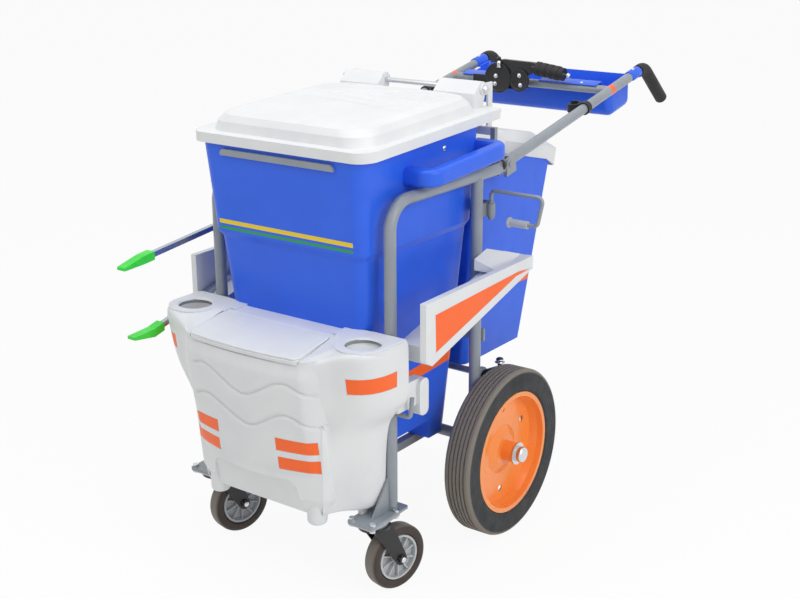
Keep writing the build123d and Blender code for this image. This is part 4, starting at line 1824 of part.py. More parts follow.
# Litter tongs: two arms on a pin with jaws on their front ends
FLOOR_LEAN = atan2(WING_FLOOR_RISE, WING_REAR - WING_FLOOR_Y)
TONGS_LIFT = (TONGS_BAR / 2 + SEAT) / cos(FLOOR_LEAN)
TONGS_LOWER = [(y, on_line(FLOOR_LINE, y) + TONGS_LIFT) for y in (TONGS_FRONT_Y, TONGS_END_Y)]
CHEEK_X = TONGS_BAR / 2 + GAP
CHEEK_Y = TONGS_LOWER[1][0] - 2 * TONGS_BAR
CHEEK_ROOT = (CHEEK_Y, on_line(TONGS_LOWER, CHEEK_Y))
EYE_Y = TONGS_UPPER[1][0] - TONGS_BAR
EYE_ROOT = (EYE_Y, on_line(TONGS_UPPER, EYE_Y))
with BuildPart() as tongs_lower_arm:
    with BuildSketch(Plane.YZ.offset(TONGS_X)):
        with BuildLine():
            Polyline(*bar_profile(TONGS_LOWER, TONGS_BAR), close=True)
        make_face()
    extrude(amount=TONGS_BAR / 2, both=True)
    for x in (CHEEK_X, -CHEEK_X - TONGS_CHEEK_T):
        with BuildSketch(Plane.YZ.offset(TONGS_X + x)):
            with Locations((TONGS_PIVOT_Y, TONGS_PIVOT_Z)):
                Circle(TONGS_EYE_R)
            with Locations(CHEEK_ROOT):
                Circle(TONGS_BAR / 2)
            make_hull()
        extrude(amount=TONGS_CHEEK_T)
    with BuildSketch(Plane.YZ.offset(TONGS_X)):
        with Locations(CHEEK_ROOT):
            Circle(TONGS_PIN_R)
        with Locations((TONGS_PIVOT_Y, TONGS_PIVOT_Z)):
            Circle(TONGS_PIN_R)
    extrude(amount=CHEEK_X + TONGS_CHEEK_T, both=True)
    with BuildSketch(Plane.YZ.offset(TONGS_X)):
        with Locations((TONGS_PIVOT_Y, TONGS_PIVOT_Z)):
            Circle(TONGS_EYE_R + GAP)
            Circle(TONGS_PIN_R, mode=Mode.SUBTRACT)
    extrude(amount=CHEEK_X, both=True, mode=Mode.SUBTRACT)
save(tongs_lower_arm, "tongs_lower_arm")

with BuildPart() as tongs_upper_arm:
    with BuildSketch(Plane.YZ.offset(TONGS_X)):
        with BuildLine():
            Polyline(*bar_profile(TONGS_UPPER, TONGS_BAR), close=True)
        make_face()
    with BuildSketch(Plane.YZ.offset(TONGS_X)):
        with Locations((TONGS_PIVOT_Y, TONGS_PIVOT_Z)):
            Circle(TONGS_EYE_R)
        with Locations(EYE_ROOT):
            Circle(TONGS_BAR / 2)
        make_hull()
    extrude(amount=TONGS_BAR / 2, both=True)
    with BuildSketch(Plane.YZ.offset(TONGS_X)):
        with Locations((TONGS_PIVOT_Y, TONGS_PIVOT_Z)):
            Circle(TONGS_PIN_R + RUN)
    extrude(amount=TONGS_BAR, both=True, mode=Mode.SUBTRACT)
save(tongs_upper_arm, "tongs_upper_arm")

for name, line, dip in (
    ("tongs_upper_jaw", TONGS_UPPER, JAW_UPPER_DIP),
    ("tongs_lower_jaw", TONGS_LOWER, JAW_LOWER_DIP),
):
    front_y, front_z = line[0]
    back_y = front_y + JAW_SOCKET
    with BuildPart() as jaw:
        with BuildSketch(Plane.YZ.offset(TONGS_X)):
            with BuildLine():
                Polyline(
                    (back_y, on_line(line, back_y) + JAW_T / 2),
                    (front_y, front_z + JAW_T / 2),
                    (front_y - JAW_LENGTH, front_z - 2 * dip + JAW_TIP_T / 2),
                    (front_y - JAW_LENGTH, front_z - 2 * dip - JAW_TIP_T / 2),
                    (front_y, front_z - JAW_T / 2),
                    (back_y, on_line(line, back_y) - JAW_T / 2),
                    close=True,
                )
            make_face()
        extrude(amount=JAW_W / 2, both=True)
        with BuildSketch(Plane.YZ.offset(TONGS_X)):
            with BuildLine():
                Polyline(*bar_profile(line, TONGS_BAR), close=True)
            make_face()
        extrude(amount=TONGS_BAR / 2, both=True, mode=Mode.SUBTRACT)
    save(jaw, name)
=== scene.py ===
"""Outdoor cleaning cart: finishes, moulded forms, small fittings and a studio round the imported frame."""

import logging
import math
from collections.abc import Callable, Iterable
from dataclasses import dataclass, field, replace
from enum import Enum

import bpy
from mathutils import Matrix, Vector


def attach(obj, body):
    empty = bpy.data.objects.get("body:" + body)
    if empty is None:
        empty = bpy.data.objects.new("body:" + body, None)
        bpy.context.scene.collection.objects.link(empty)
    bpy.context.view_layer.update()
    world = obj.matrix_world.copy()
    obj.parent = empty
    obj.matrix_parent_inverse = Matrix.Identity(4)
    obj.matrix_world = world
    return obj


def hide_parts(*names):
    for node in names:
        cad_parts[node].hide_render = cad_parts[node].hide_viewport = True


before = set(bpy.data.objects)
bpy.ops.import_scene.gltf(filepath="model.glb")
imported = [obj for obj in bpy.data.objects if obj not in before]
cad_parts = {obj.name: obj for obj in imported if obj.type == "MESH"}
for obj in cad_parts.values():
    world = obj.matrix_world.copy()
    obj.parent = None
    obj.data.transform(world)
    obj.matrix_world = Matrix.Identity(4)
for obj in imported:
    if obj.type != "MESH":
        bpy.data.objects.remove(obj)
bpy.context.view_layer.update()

log = logging.getLogger("cleaning_cart")
MM = 0.001
MERGE_MM = 0.05
SMOOTH_DEG = 35
# Least Z of a face's normal that counts as level
LEVEL = 0.9
UP = (0.0, 0.0, 1.0)
# What all the finishes share: gloss, clouding of the colour, and wear of the gloss
SPECULAR = 0.38
COAT_ROUGHNESS = 0.15
CLOUD_LOW, CLOUD_HIGH = 0.38, 0.72
WEAR_LOW, WEAR_HIGH = 0.3, 0.7
WEAR_SHARE = 0.15
# Numbers of a Mix node's two colour inputs and of its colour output
MIX_A, MIX_B, MIX_OUT = 6, 7, 2
Socket = bpy.types.NodeSocket
Tree = bpy.types.NodeTree
Pair = tuple[float, float]
Triple = tuple[float, float, float]
Slab = tuple["HalfSpace", "HalfSpace"]


class Side(Enum):
    """The cart's two sides along X."""

    LEFT = -1
    RIGHT = 1

    @property
    def tag(self) -> str:
        """The side's word in the names of pieces."""
        return self.name.lower()

    def place(self, right: Triple) -> Triple:
        """This side's twin of a place or a direction on the right side."""
        return self.value * right[0], right[1], right[2]


class Body(Enum):
    """Bodies of the frame that fittings ride on."""

    FRAME = "frame"
    HANDLE = "handle"
    LEVER = "brake_lever"
    YOKE = "brake_yoke"
    LID = "main_lid"
    BOX_LID = "toolbox_lid"
    CASTER_LEFT = "caster_left"
    CASTER_RIGHT = "caster_right"


def linear(code: str) -> tuple[float, float, float, float]:
    """Turn an sRGB hex colour into linear values.

    Args:
        code: Colour as "#RRGGBB".
    Returns:
        Linear red, green, blue and an alpha of one.
    """
    parts = [int(code[i : i + 2], 16) / 255 for i in (1, 3, 5)]
    red, green, blue = [c / 12.92 if c <= 0.04045 else ((c + 0.055) / 1.055) ** 2.4 for c in parts]
    return red, green, blue, 1.0


def add_node(tree: Tree, kind: str, sockets: dict | None = None, **settings: object) -> bpy.types.Node:
    """Add a node with its settings, values and links.

    Args:
        tree: Node tree that gets the node.
        kind: Blender's name of the node type.
        sockets: Input name or number to a value, or to an output to link.
        settings: Properties of the node.
    Returns:
        The new node.
    """
    node = tree.nodes.new(kind)
    for name, value in settings.items():
        setattr(node, name, value)
    for name, value in (sockets or {}).items():
        if isinstance(value, Socket):
            tree.links.new(value, node.inputs[name])
        else:
            node.inputs[name].default_value = value
    return node


@dataclass(frozen=True)
class HalfSpace:
    """The space where a point's reach along normal is less than reach, in metres."""

    normal: Triple
    reach: float


def between(axis: int, low: float, high: float) -> Slab:
    """The slab between two places on an axis.

    Args:
        axis: 0, 1 or 2 for X, Y or Z.
        low: Lower place in millimetres.
        high: Upper place in millimetres.
    Returns:
        The slab's two half spaces.
    """
    up = tuple(1.0 if i == axis else 0.0 for i in range(3))
    down = tuple(-c for c in up)
    return HalfSpace(up, high * MM), HalfSpace(down, -low * MM)


def outline(axes: tuple[int, int], points: list[Pair]) -> tuple[HalfSpace, ...]:
    """Half spaces of a convex outline.

    Args:
        axes: The two axes that the outline is drawn on.
        points: Corners in millimetres, counter-clockwise.
    Returns:
        One half space for each side.
    """
    spaces = []
    for (u0, v0), (u1, v1) in zip(points, points[1:] + points[:1]):
        length = math.hypot(u1 - u0, v1 - v0)
        normal = [0.0, 0.0, 0.0]
        normal[axes[0]] = (v1 - v0) / length
        normal[axes[1]] = (u0 - u1) / length
        spaces.append(HalfSpace(tuple(normal), (u0 * (v1 - v0) - v0 * (u1 - u0)) / length * MM))
    return tuple(spaces)


@dataclass(frozen=True)
class Film:
    """Reflective film or a printed stripe, alike on both sides of the cart: a field with an edge."""

    spaces: tuple[HalfSpace, ...]
    colour: str = "#FF6C2C"
    edge: str = "#D3E3EA"
    edge_mm: float = 2.5

    def cover(self, tree: Tree, place: Socket, grow: float) -> Socket:
        """Share of cover at a place.

        Args:
            tree: Node tree of the material.
            place: Object coordinates with X counted from the middle outwards.
            grow: How far the film is widened, in metres.
        Returns:
            One on the film and zero elsewhere.
        """
        share: Socket | None = None
        for space in self.spaces:
            inputs = {0: place, 1: space.normal}
            reach = add_node(tree, "ShaderNodeVectorMath", inputs, operation="DOT_PRODUCT").outputs["Value"]
            inputs = {0: reach, 1: space.reach + grow}
            below = add_node(tree, "ShaderNodeMath", inputs, operation="LESS_THAN").outputs[0]
            if share is not None:
                inputs = {0: share, 1: below}
                below = add_node(tree, "ShaderNodeMath", inputs, operation="MULTIPLY").outputs[0]
            share = below
        return share


@dataclass(frozen=True)
class Finish:
    """A surface: its material's name, its colour and the marks of how it was made."""

    name: str
    colour: str
    shade: str
    roughness: float
    grain_mm: float
    relief_mm: float
    mottle_mm: float = 90.0
    metallic: float = 0.0
    coat: float = 0.0
    films: tuple[Film, ...] = ()

    def colouring(self, tree: Tree, place: Socket) -> Socket:
        """Mottled ground colour with the films on it.

        Args:
            tree: Node tree of the material.
            place: Object coordinates.
        Returns:
            The surface's colour.
        """
        inputs = {"Vector": place, "Scale": 1 / (self.mottle_mm * MM), "Detail": 4.0}
        cloud = add_node(tree, "ShaderNodeTexNoise", inputs).outputs["Fac"]
        share = add_node(tree, "ShaderNodeMapRange", {0: cloud, 1: CLOUD_LOW, 2: CLOUD_HIGH}).outputs[0]
        inputs = {0: share, MIX_A: linear(self.colour), MIX_B: linear(self.shade)}
        colour = add_node(tree, "ShaderNodeMix", inputs, data_type="RGBA").outputs[MIX_OUT]
        if not self.films:
            return colour
        parts = add_node(tree, "ShaderNodeSeparateXYZ", {0: place}).outputs
        outward = add_node(tree, "ShaderNodeMath", {0: parts["X"]}, operation="ABSOLUTE").outputs[0]
        inputs = {0: outward, 1: parts["Y"], 2: parts["Z"]}
        mirrored = add_node(tree, "ShaderNodeCombineXYZ", inputs).outputs[0]
        layers = [(film, film.edge, film.edge_mm * MM) for film in self.films]
        layers += [(film, film.colour, 0.0) for film in self.films]
        for film, ink, grow in layers:
            inputs = {0: film.cover(tree, mirrored, grow), MIX_A: colour, MIX_B: linear(ink)}
            colour = add_node(tree, "ShaderNodeMix", inputs, data_type="RGBA").outputs[MIX_OUT]
        return colour

    def relief(self, tree: Tree, place: Socket) -> Socket:
        """Relief of the surface's grain.

        Args:
            tree: Node tree of the material.
            place: Object coordinates.
        Returns:
            The grain's height in metres.
        """
        inputs = {"Vector": place, "Scale": 1 / (self.grain_mm * MM), "Detail": 3.0}
        grain = add_node(tree, "ShaderNodeTexNoise", inputs).outputs["Fac"]
        inputs = {0: grain, 1: self.relief_mm * MM}
        return add_node(tree, "ShaderNodeMath", inputs, operation="MULTIPLY").outputs[0]

    def material(self) -> bpy.types.Material:
        """Make the finish's material at its first use.

        Returns:
            The material.
        """
        made = bpy.data.materials.get(self.name)
        if made:
            return made
        made = bpy.data.materials.new(self.name)
        made.use_nodes = True
        tree = made.node_tree
        tree.nodes.clear()
        place = add_node(tree, "ShaderNodeTexCoord").outputs["Object"]
        inputs = {"Vector": place, "Scale": 3 / (self.mottle_mm * MM), "Detail": 5.0}
        wear = add_node(tree, "ShaderNodeTexNoise", inputs).outputs["Fac"]
        smooth, dull = self.roughness * (1 - WEAR_SHARE), min(1.0, self.roughness * (1 + WEAR_SHARE))
        inputs = {0: wear, 1: WEAR_LOW, 2: WEAR_HIGH, 3: smooth, 4: dull}
        rough = add_node(tree, "ShaderNodeMapRange", inputs).outputs[0]
        bump = add_node(tree, "ShaderNodeBump", {"Height": self.relief(tree, place), "Distance": 1.0})
        inputs = {
            "Base Color": self.colouring(tree, place),
            "Roughness": rough,
            "Normal": bump.outputs["Normal"],
            "Metallic": self.metallic,
            "Specular IOR Level": SPECULAR,
            "Coat Weight": self.coat,
            "Coat Roughness": COAT_ROUGHNESS,
        }
        shader = add_node(tree, "ShaderNodeBsdfPrincipled", inputs)
        add_node(tree, "ShaderNodeOutputMaterial", {"Surface": shader.outputs[0]})
        return made


@dataclass(frozen=True)
class Brushed(Finish):
    """Drawn or brushed metal with fine lines along one axis."""

    along: Triple = (1.0, 0.04, 1.0)

    def relief(self, tree: Tree, place: Socket) -> Socket:
        """Height of the lines, in metres."""
        drawn = add_node(tree, "ShaderNodeMapping", {"Vector": place, "Scale": self.along}).outputs[0]
        return Finish.relief(self, tree, drawn)


@dataclass(frozen=True)
class WheelRubber(Finish):
    """Tyre rubber: dark moulded sidewall with fine rings, and a dusty tread."""

    centre_mm: Triple = (0.0, 0.0, 203.0)
    turn_deg: float = 0.0
    tread_r_mm: float = 196.0
    dust: str = "#8E867C"
    dust_from_mm: float = -3.0
    dust_to_mm: float = 2.0
    dust_share: float = 0.9
    ring_mm: float = 7.0
    ring_depth_mm: float = 0.35

    def radius(self, tree: Tree, place: Socket) -> Socket:
        """Reach from the wheel's axle.

        Args:
            tree: Node tree of the material.
            place: Object coordinates.
        Returns:
            The distance in metres.
        """
        turn = math.radians(-self.turn_deg)
        shift = Matrix.Rotation(turn, 3, "Z") @ Vector(self.centre_mm) * -MM
        inputs = {"Vector": place, "Rotation": (0, 0, turn), "Location": shift}
        local = add_node(tree, "ShaderNodeMapping", inputs).outputs[0]
        inputs = {0: local, 1: (0, 1, 1)}
        flat = add_node(tree, "ShaderNodeVectorMath", inputs, operation="MULTIPLY").outputs[0]
        return add_node(tree, "ShaderNodeVectorMath", {0: flat}, operation="LENGTH").outputs["Value"]

    def colouring(self, tree: Tree, place: Socket) -> Socket:
        """Sidewall colour, with dust on the tread.

        Args:
            tree: Node tree of the material.
            place: Object coordinates.
        Returns:
            The rubber's colour.
        """
        ground = Finish.colouring(self, tree, place)
        clean, dusty = ((self.tread_r_mm + step) * MM for step in (self.dust_from_mm, self.dust_to_mm))
        inputs = {0: self.radius(tree, place), 1: clean, 2: dusty, 4: self.dust_share}
        share = add_node(tree, "ShaderNodeMapRange", inputs).outputs[0]
        inputs = {0: share, MIX_A: ground, MIX_B: linear(self.dust)}
        return add_node(tree, "ShaderNodeMix", inputs, data_type="RGBA").outputs[MIX_OUT]

    def relief(self, tree: Tree, place: Socket) -> Socket:
        """Relief of the grain and the moulded rings.

        Args:
            tree: Node tree of the material.
            place: Object coordinates.
        Returns:
            Their height in metres.
        """
        inputs = {0: self.radius(tree, place), 1: 2 * math.pi / (self.ring_mm * MM)}
        turns = add_node(tree, "ShaderNodeMath", inputs, operation="MULTIPLY").outputs[0]
        ring = add_node(tree, "ShaderNodeMath", {0: turns}, operation="SINE").outputs[0]
        inputs = {0: ring, 1: self.ring_depth_mm * MM, 2: Finish.relief(self, tree, place)}
        return add_node(tree, "ShaderNodeMath", inputs, operation="MULTIPLY_ADD").outputs[0]


# Moulded polyethylene, nylon and polypropylene: satin, with a soft orange peel and faint clouding
BLUE_PE = Finish("blue_moulded_polyethylene", "#2F68EE", "#2C64E8", 0.36, 2.2, 0.04)
WHITE_PE = Finish("white_moulded_polyethylene", "#E6E8E9", "#E0E2E4", 0.42, 2.2, 0.04)
LID_PE = Finish("white_polyethylene_lid", "#E8EAEB", "#E2E4E6", 0.4, 2.2, 0.04)
GREY_PA = Finish("grey_moulded_nylon", "#C3C6C8", "#B8BBBD", 0.45, 1.6, 0.04)
# Painted shade: a darker grey for the ring in each cup's mouth, standing in for the shade inside a deeper cup
CUP_SHADE_PE = Finish("grey_cup_painted_shade", "#8D9193", "#85898B", 0.5, 1.6, 0.04)
BLACK_PA = Finish("black_moulded_nylon", "#1D1D1F", "#262628", 0.48, 1.2, 0.04)
GREEN_PP = Finish("green_moulded_polypropylene", "#4BEA4E", "#38D43C", 0.36, 2.0, 0.04)
# Powder coat on steel: even colour with a fine orange peel under a soft gloss
GREY_COAT = Finish("grey_powder_coated_steel", "#949BA3", "#8B9299", 0.36, 1.4, 0.03, coat=0.3)
BLACK_COAT = Finish("black_painted_steel", "#1B1B1D", "#232325", 0.4, 1.4, 0.03, coat=0.2)
ORANGE_COAT = Finish("orange_enamelled_steel", "#FF9A48", "#FC9240", 0.3, 3.0, 0.03, coat=0.4)
# Zinc, chrome and brushed aluminium: bright metal, zinc with a cloudy spangle, aluminium with fine
# lines that are drawn coarser than life to show
ZINC = Finish("zinc_plated_steel", "#B4B8BC", "#9DA2A8", 0.38, 3.0, 0.02, mottle_mm=14.0, metallic=0.85)
CHROME = Finish("chrome_plated_steel", "#DCDEE0", "#CDD0D4", 0.14, 6.0, 0.01, metallic=1.0)
ALUMINIUM = Brushed("brushed_aluminium", "#B9C2CC", "#A7B0BB", 0.34, 0.8, 0.02, metallic=0.9)
YELLOW_ZINC = Finish(
    "yellow_passivated_steel", "#D9B44A", "#C59D3A", 0.35, 3.0, 0.02, mottle_mm=10.0, metallic=0.8
)
# Moulded rubber: matt black with a stipple drawn coarser than life to show, dusty where it rolls
GRIP_RUBBER = Finish("black_grip_rubber", "#202022", "#2A2A2C", 0.62, 1.0, 0.08)
TYRE = WheelRubber("black_tyre_rubber", "#2E3033", "#3A3C3F", 0.7, 1.5, 0.06)
CASTER_TYRE_RIGHT = WheelRubber(
    "right_caster_rubber", "#3A302B", "#463B35", 0.5, 1.2, 0.05,
    centre_mm=(246.79, -378.69, 75.0), turn_deg=-14.0,
    tread_r_mm=74.0, dust="#8A837A", ring_mm=9.0, ring_depth_mm=0.2,
)
CASTER_TYRE_LEFT = replace(CASTER_TYRE_RIGHT, name="left_caster_rubber", centre_mm=(-219.21, -378.69, 75.0))

# Printed stripes and reflective film on the bins, the wings, the toolbox and the handle
STRIPE_FIELD = between(0, -1, 186) + between(1, -600, -404)
STRIPES = (
    Film(STRIPE_FIELD + between(2, 784, 794), "#F1D02C", "#F1D02C", 0.0),
    Film(STRIPE_FIELD + between(2, 771, 778), "#2F9A58", "#2F9A58", 0.0),
)
BIN_BAND_SHAPE = outline((1, 2), [(-262, 421), (-36, 434), (-36, 464), (-262, 451)])
BIN_BAND = Film(BIN_BAND_SHAPE + between(0, 150, 260), edge_mm=0.0)
REAR_BAND = Film(between(1, 60, 420) + between(2, 543, 573), edge_mm=0.0)
WING_FACE = between(0, 332.7, 340)
WING_FILMS = (
    Film(outline((1, 2), [(-346, 561), (-24, 650), (-15, 658.5), (-349, 644.5)]) + WING_FACE),
    Film(outline((1, 2), [(-26, 649.5), (34, 653), (-15, 658.5)]) + WING_FACE),
)
BOX_FRONT_FACE = between(1, -600, -495)
BOX_FILMS = (
    Film(between(0, 82, 174) + BOX_FRONT_FACE + between(2, 358, 388)),
    Film(between(0, 84, 176) + BOX_FRONT_FACE + between(2, 313, 343)),
    Film(between(0, 241, 320) + between(1, -560, -437) + between(2, 506, 541)),
)
BOX_PE = replace(WHITE_PE, name="white_polyethylene_toolbox", films=BOX_FILMS)
HANDLE_LEAN = math.radians(11.3)
HANDLE_RUN = Vector((0, math.cos(HANDLE_LEAN), math.sin(HANDLE_LEAN)))
HANDLE_UP = Vector((1, 0, 0)).cross(HANDLE_RUN)
HANDLE_FOOT = Vector((0, 66, 882)) * MM


def along_handle(low: float, high: float) -> Slab:
    """The slab between two lengths along the handle tubes.

    Args:
        low: Shorter length from the fold pin, in millimetres.
        high: Longer length.
    Returns:
        The slab's two half spaces.
    """
    foot = HANDLE_FOOT.dot(HANDLE_RUN)
    return HalfSpace(tuple(HANDLE_RUN), foot + high * MM), HalfSpace(tuple(-HANDLE_RUN), -foot - low * MM)


HANDLE_BAND = Film(along_handle(511, 532), edge_mm=0.0)


def start_clean() -> None:
    """Leave edit mode and deselect everything."""
    if bpy.context.mode != "OBJECT":
        bpy.ops.object.mode_set(mode="OBJECT")
    bpy.ops.object.select_all(action="DESELECT")


def pick_faces(piece: bpy.types.Object, test: Callable[[Vector, Vector], bool]) -> None:
    """Select faces of the active piece and stay in edit mode.

    Args:
        piece: The active object.
        test: Takes a face's middle and normal, and says whether it is picked.
    """
    bpy.ops.object.mode_set(mode="EDIT")
    bpy.ops.mesh.select_mode(type="FACE")
    bpy.ops.mesh.select_all(action="DESELECT")
    bpy.ops.object.mode_set(mode="OBJECT")
    for face in piece.data.polygons:
        face.select = test(face.center, face.normal)
    bpy.ops.object.mode_set(mode="EDIT")


def apply_modifier(piece: bpy.types.Object, kind: str, **settings: object) -> None:
    """Add a modifier to the active piece and apply it.

    Args:
        piece: The active object.
        kind: Blender's name of the modifier type.
        settings: Properties of the modifier.
    """
    added = piece.modifiers.new(kind.lower(), kind)
    for name, value in settings.items():
        setattr(added, name, value)
    bpy.ops.object.modifier_apply(modifier=added.name)


def bevel_edges(piece: bpy.types.Object, width: float, segments: int = 2) -> None:
    """Round the active piece's sharp edges.

    Args:
        piece: The active object.
        width: Width of the rounding in metres.
        segments: Steps across it.
    """
    apply_modifier(piece, "BEVEL", width=width, segments=segments, limit_method="ANGLE")


def face_outwards() -> None:
    """Turn the active piece's faces outwards and leave edit mode."""
    bpy.ops.object.mode_set(mode="EDIT")
    bpy.ops.mesh.select_all(action="SELECT")
    bpy.ops.mesh.normals_make_consistent(inside=False)
    bpy.ops.object.mode_set(mode="OBJECT")


def settle(piece: bpy.types.Object, name: str, body: Body, finish: Finish, slot: str) -> bpy.types.Object:
    """Put a piece's place into its mesh, dress it and let it ride.

    Args:
        piece: The finished object.
        name: Its name.
        body: Body that it rides on.
        finish: Its finish.
        slot: Name of a material slot; not used.
    Returns:
        The same object.
    """
    start_clean()
    piece.select_set(True)
    bpy.context.view_layer.objects.active = piece
    bpy.ops.object.transform_apply(location=True, rotation=True, scale=True)
    bpy.ops.object.shade_smooth_by_angle(angle=math.radians(SMOOTH_DEG))
    piece.name = name
    piece.data.name = name
    piece.data.materials.clear()
    piece.data.materials.append(finish.material())
    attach(piece, body.value)
    log.info("fitted %s on %s", name, body.value)
    return piece


def stand(place: Iterable[float], axis: Iterable[float]) -> Matrix:
    """Placing of a piece modelled along +Z.

    Args:
        place: Where its foot stands, in millimetres.
        axis: Where its top points.
    Returns:
        The placing in metres.
    """
    turn = Vector(axis).normalized().to_track_quat("Z", "Y").to_matrix().to_4x4()
    return Matrix.Translation(Vector(place) * MM) @ turn


@dataclass
class Bolt:
    """A bolt half sunk in its face: a washer, and a domed or six-sided head."""

    name: str
    place: Triple
    axis: Triple
    body: Body
    radius: float = 6.0
    height: float = 5.0
    sides: int = 24
    finish: Finish = CHROME
    slot: str = "chrome_steel"
    washer_share: float = 1.3
    washer_t: float = 1.2
    washer_edge: float = 0.3
    dome_inset: float = 0.3
    dome_rises: Pair = (0.22, 0.1)
    edge_share: float = 0.08

    def build(self) -> bpy.types.Object:
        """Model the head on its washer and fit it.

        Returns:
            The fitted bolt.
        """
        start_clean()
        bpy.ops.mesh.primitive_cylinder_add(
            vertices=24, radius=self.radius * self.washer_share * MM, depth=self.washer_t * MM,
            location=(0, 0, self.washer_t / 2 * MM),
        )
        washer = bpy.context.active_object
        bevel_edges(washer, self.washer_edge * MM)
        start_clean()
        bpy.ops.mesh.primitive_cylinder_add(
            vertices=self.sides, radius=self.radius * MM, depth=self.height * MM,
            location=(0, 0, (self.washer_t + self.height / 2) * MM),
        )
        head = bpy.context.active_object
        pick_faces(head, lambda middle, normal: normal.z > LEVEL)
        for rise in self.dome_rises:
            bpy.ops.mesh.inset(thickness=self.radius * self.dome_inset * MM)
            bpy.ops.transform.translate(value=(0, 0, self.height * rise * MM))
        bpy.ops.object.mode_set(mode="OBJECT")
        bevel_edges(head, self.radius * self.edge_share * MM)
        washer.select_set(True)
        head.select_set(True)
        bpy.context.view_layer.objects.active = head
        bpy.ops.object.join()
        head.matrix_world = stand(self.place, self.axis)
        return settle(head, self.name, self.body, self.finish, self.slot)


@dataclass
class Collar:
    """A ring round a tube or a pin."""

    name: str
    place: Triple
    axis: Triple
    body: Body
    inner: float
    wall: float
    length: float
    finish: Finish
    slot: str
    edge_share: float = 0.3

    def build(self) -> bpy.types.Object:
        """Model the ring from a bored cylinder and fit it.

        Returns:
            The fitted ring.
        """
        start_clean()
        outer = (self.inner + self.wall) * MM
        bpy.ops.mesh.primitive_cylinder_add(vertices=40, radius=outer, depth=self.length * MM)
        ring = bpy.context.active_object
        pick_faces(ring, lambda middle, normal: abs(normal.z) > LEVEL)
        bpy.ops.mesh.inset(thickness=self.wall * MM)
        bpy.ops.mesh.bridge_edge_loops()
        face_outwards()
        bevel_edges(ring, self.wall * self.edge_share * MM)
        ring.matrix_world = stand(self.place, self.axis)
        return settle(ring, self.name, self.body, self.finish, self.slot)


def loft_sheet(
    rows: list[list[Triple]], away: Triple, levels: int = 2, wall_mm: float = 2.0
) -> bpy.types.Object:
    """Model a smooth moulded sheet through rows of points.

    Args:
        rows: Rows of as many points each, in millimetres.
        away: A point behind the sheet, in millimetres, which its outer side faces away from.
        levels: Steps of smoothing, or zero for none.
        wall_mm: Thickness behind the outer side.
    Returns:
        The sheet as the active object.
    """
    start_clean()
    across, up = len(rows[0]), len(rows)
    bpy.ops.mesh.primitive_grid_add(x_subdivisions=across - 1, y_subdivisions=up - 1, size=2.0)
    sheet = bpy.context.active_object
    for vertex in sheet.data.vertices:
        column = round((vertex.co.x + 1) / 2 * (across - 1))
        row = round((vertex.co.y + 1) / 2 * (up - 1))
        vertex.co = Vector(rows[row][column]) * MM
    bpy.ops.object.mode_set(mode="EDIT")
    bpy.ops.mesh.select_all(action="SELECT")
    bpy.ops.mesh.remove_doubles(threshold=MERGE_MM * MM)
    face_outwards()
    behind = Vector(away) * MM
    if sum((face.center - behind).dot(face.normal) * face.area for face in sheet.data.polygons) < 0:
        bpy.ops.object.mode_set(mode="EDIT")
        bpy.ops.mesh.flip_normals()
        bpy.ops.object.mode_set(mode="OBJECT")
    if levels:
        steps = {"levels": levels, "render_levels": levels}
        apply_modifier(sheet, "SUBSURF", boundary_smooth="PRESERVE_CORNERS", **steps)
    apply_modifier(sheet, "SOLIDIFY", thickness=wall_mm * MM, offset=-1.0)
    return sheet


def seat(node: str, place: Vector, axis: Vector, radius: float) -> Vector:
    """Where a line through a place leaves a node.

    Args:
        node: The node that carries a fitting.
        place: A point of the line, in millimetres.
        axis: The line's direction.
        radius: How far from the line the node is looked at, in millimetres.
    Returns:
        The outermost place on the line, in millimetres.
    """
    axis = axis.normalized()
    reach = -math.inf
    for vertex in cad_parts[node].data.vertices:
        offset = vertex.co / MM - place
        along = offset.dot(axis)
        if (offset - axis * along).length < radius:
            reach = max(reach, along)
    return place + axis * reach


@dataclass
class Disc:
    """A pressed round plate with a raised rim."""

    name: str
    place: Triple
    axis: Triple
    body: Body
    radius: float
    thickness: float
    rim: float = 4.0
    sink: float = 1.4
    finish: Finish = BLACK_COAT
    slot: str = "black_steel"
    edge: float = 0.5

    def build(self) -> bpy.types.Object:
        """Model the plate from a cylinder with a sunk face and fit it.

        Returns:
            The fitted plate.
        """
        start_clean()
        bpy.ops.mesh.primitive_cylinder_add(
            vertices=48, radius=self.radius * MM, depth=self.thickness * MM,
            location=(0, 0, self.thickness / 2 * MM),
        )
        plate = bpy.context.active_object
        pick_faces(plate, lambda middle, normal: normal.z > LEVEL)
        bpy.ops.mesh.inset(thickness=self.rim * MM)
        bpy.ops.mesh.inset(thickness=self.sink * MM)
        bpy.ops.transform.translate(value=(0, 0, -self.sink * MM))
        bpy.ops.object.mode_set(mode="OBJECT")
        bevel_edges(plate, self.edge * MM)
        plate.matrix_world = stand(self.place, self.axis)
        return settle(plate, self.name, self.body, self.finish, self.slot)


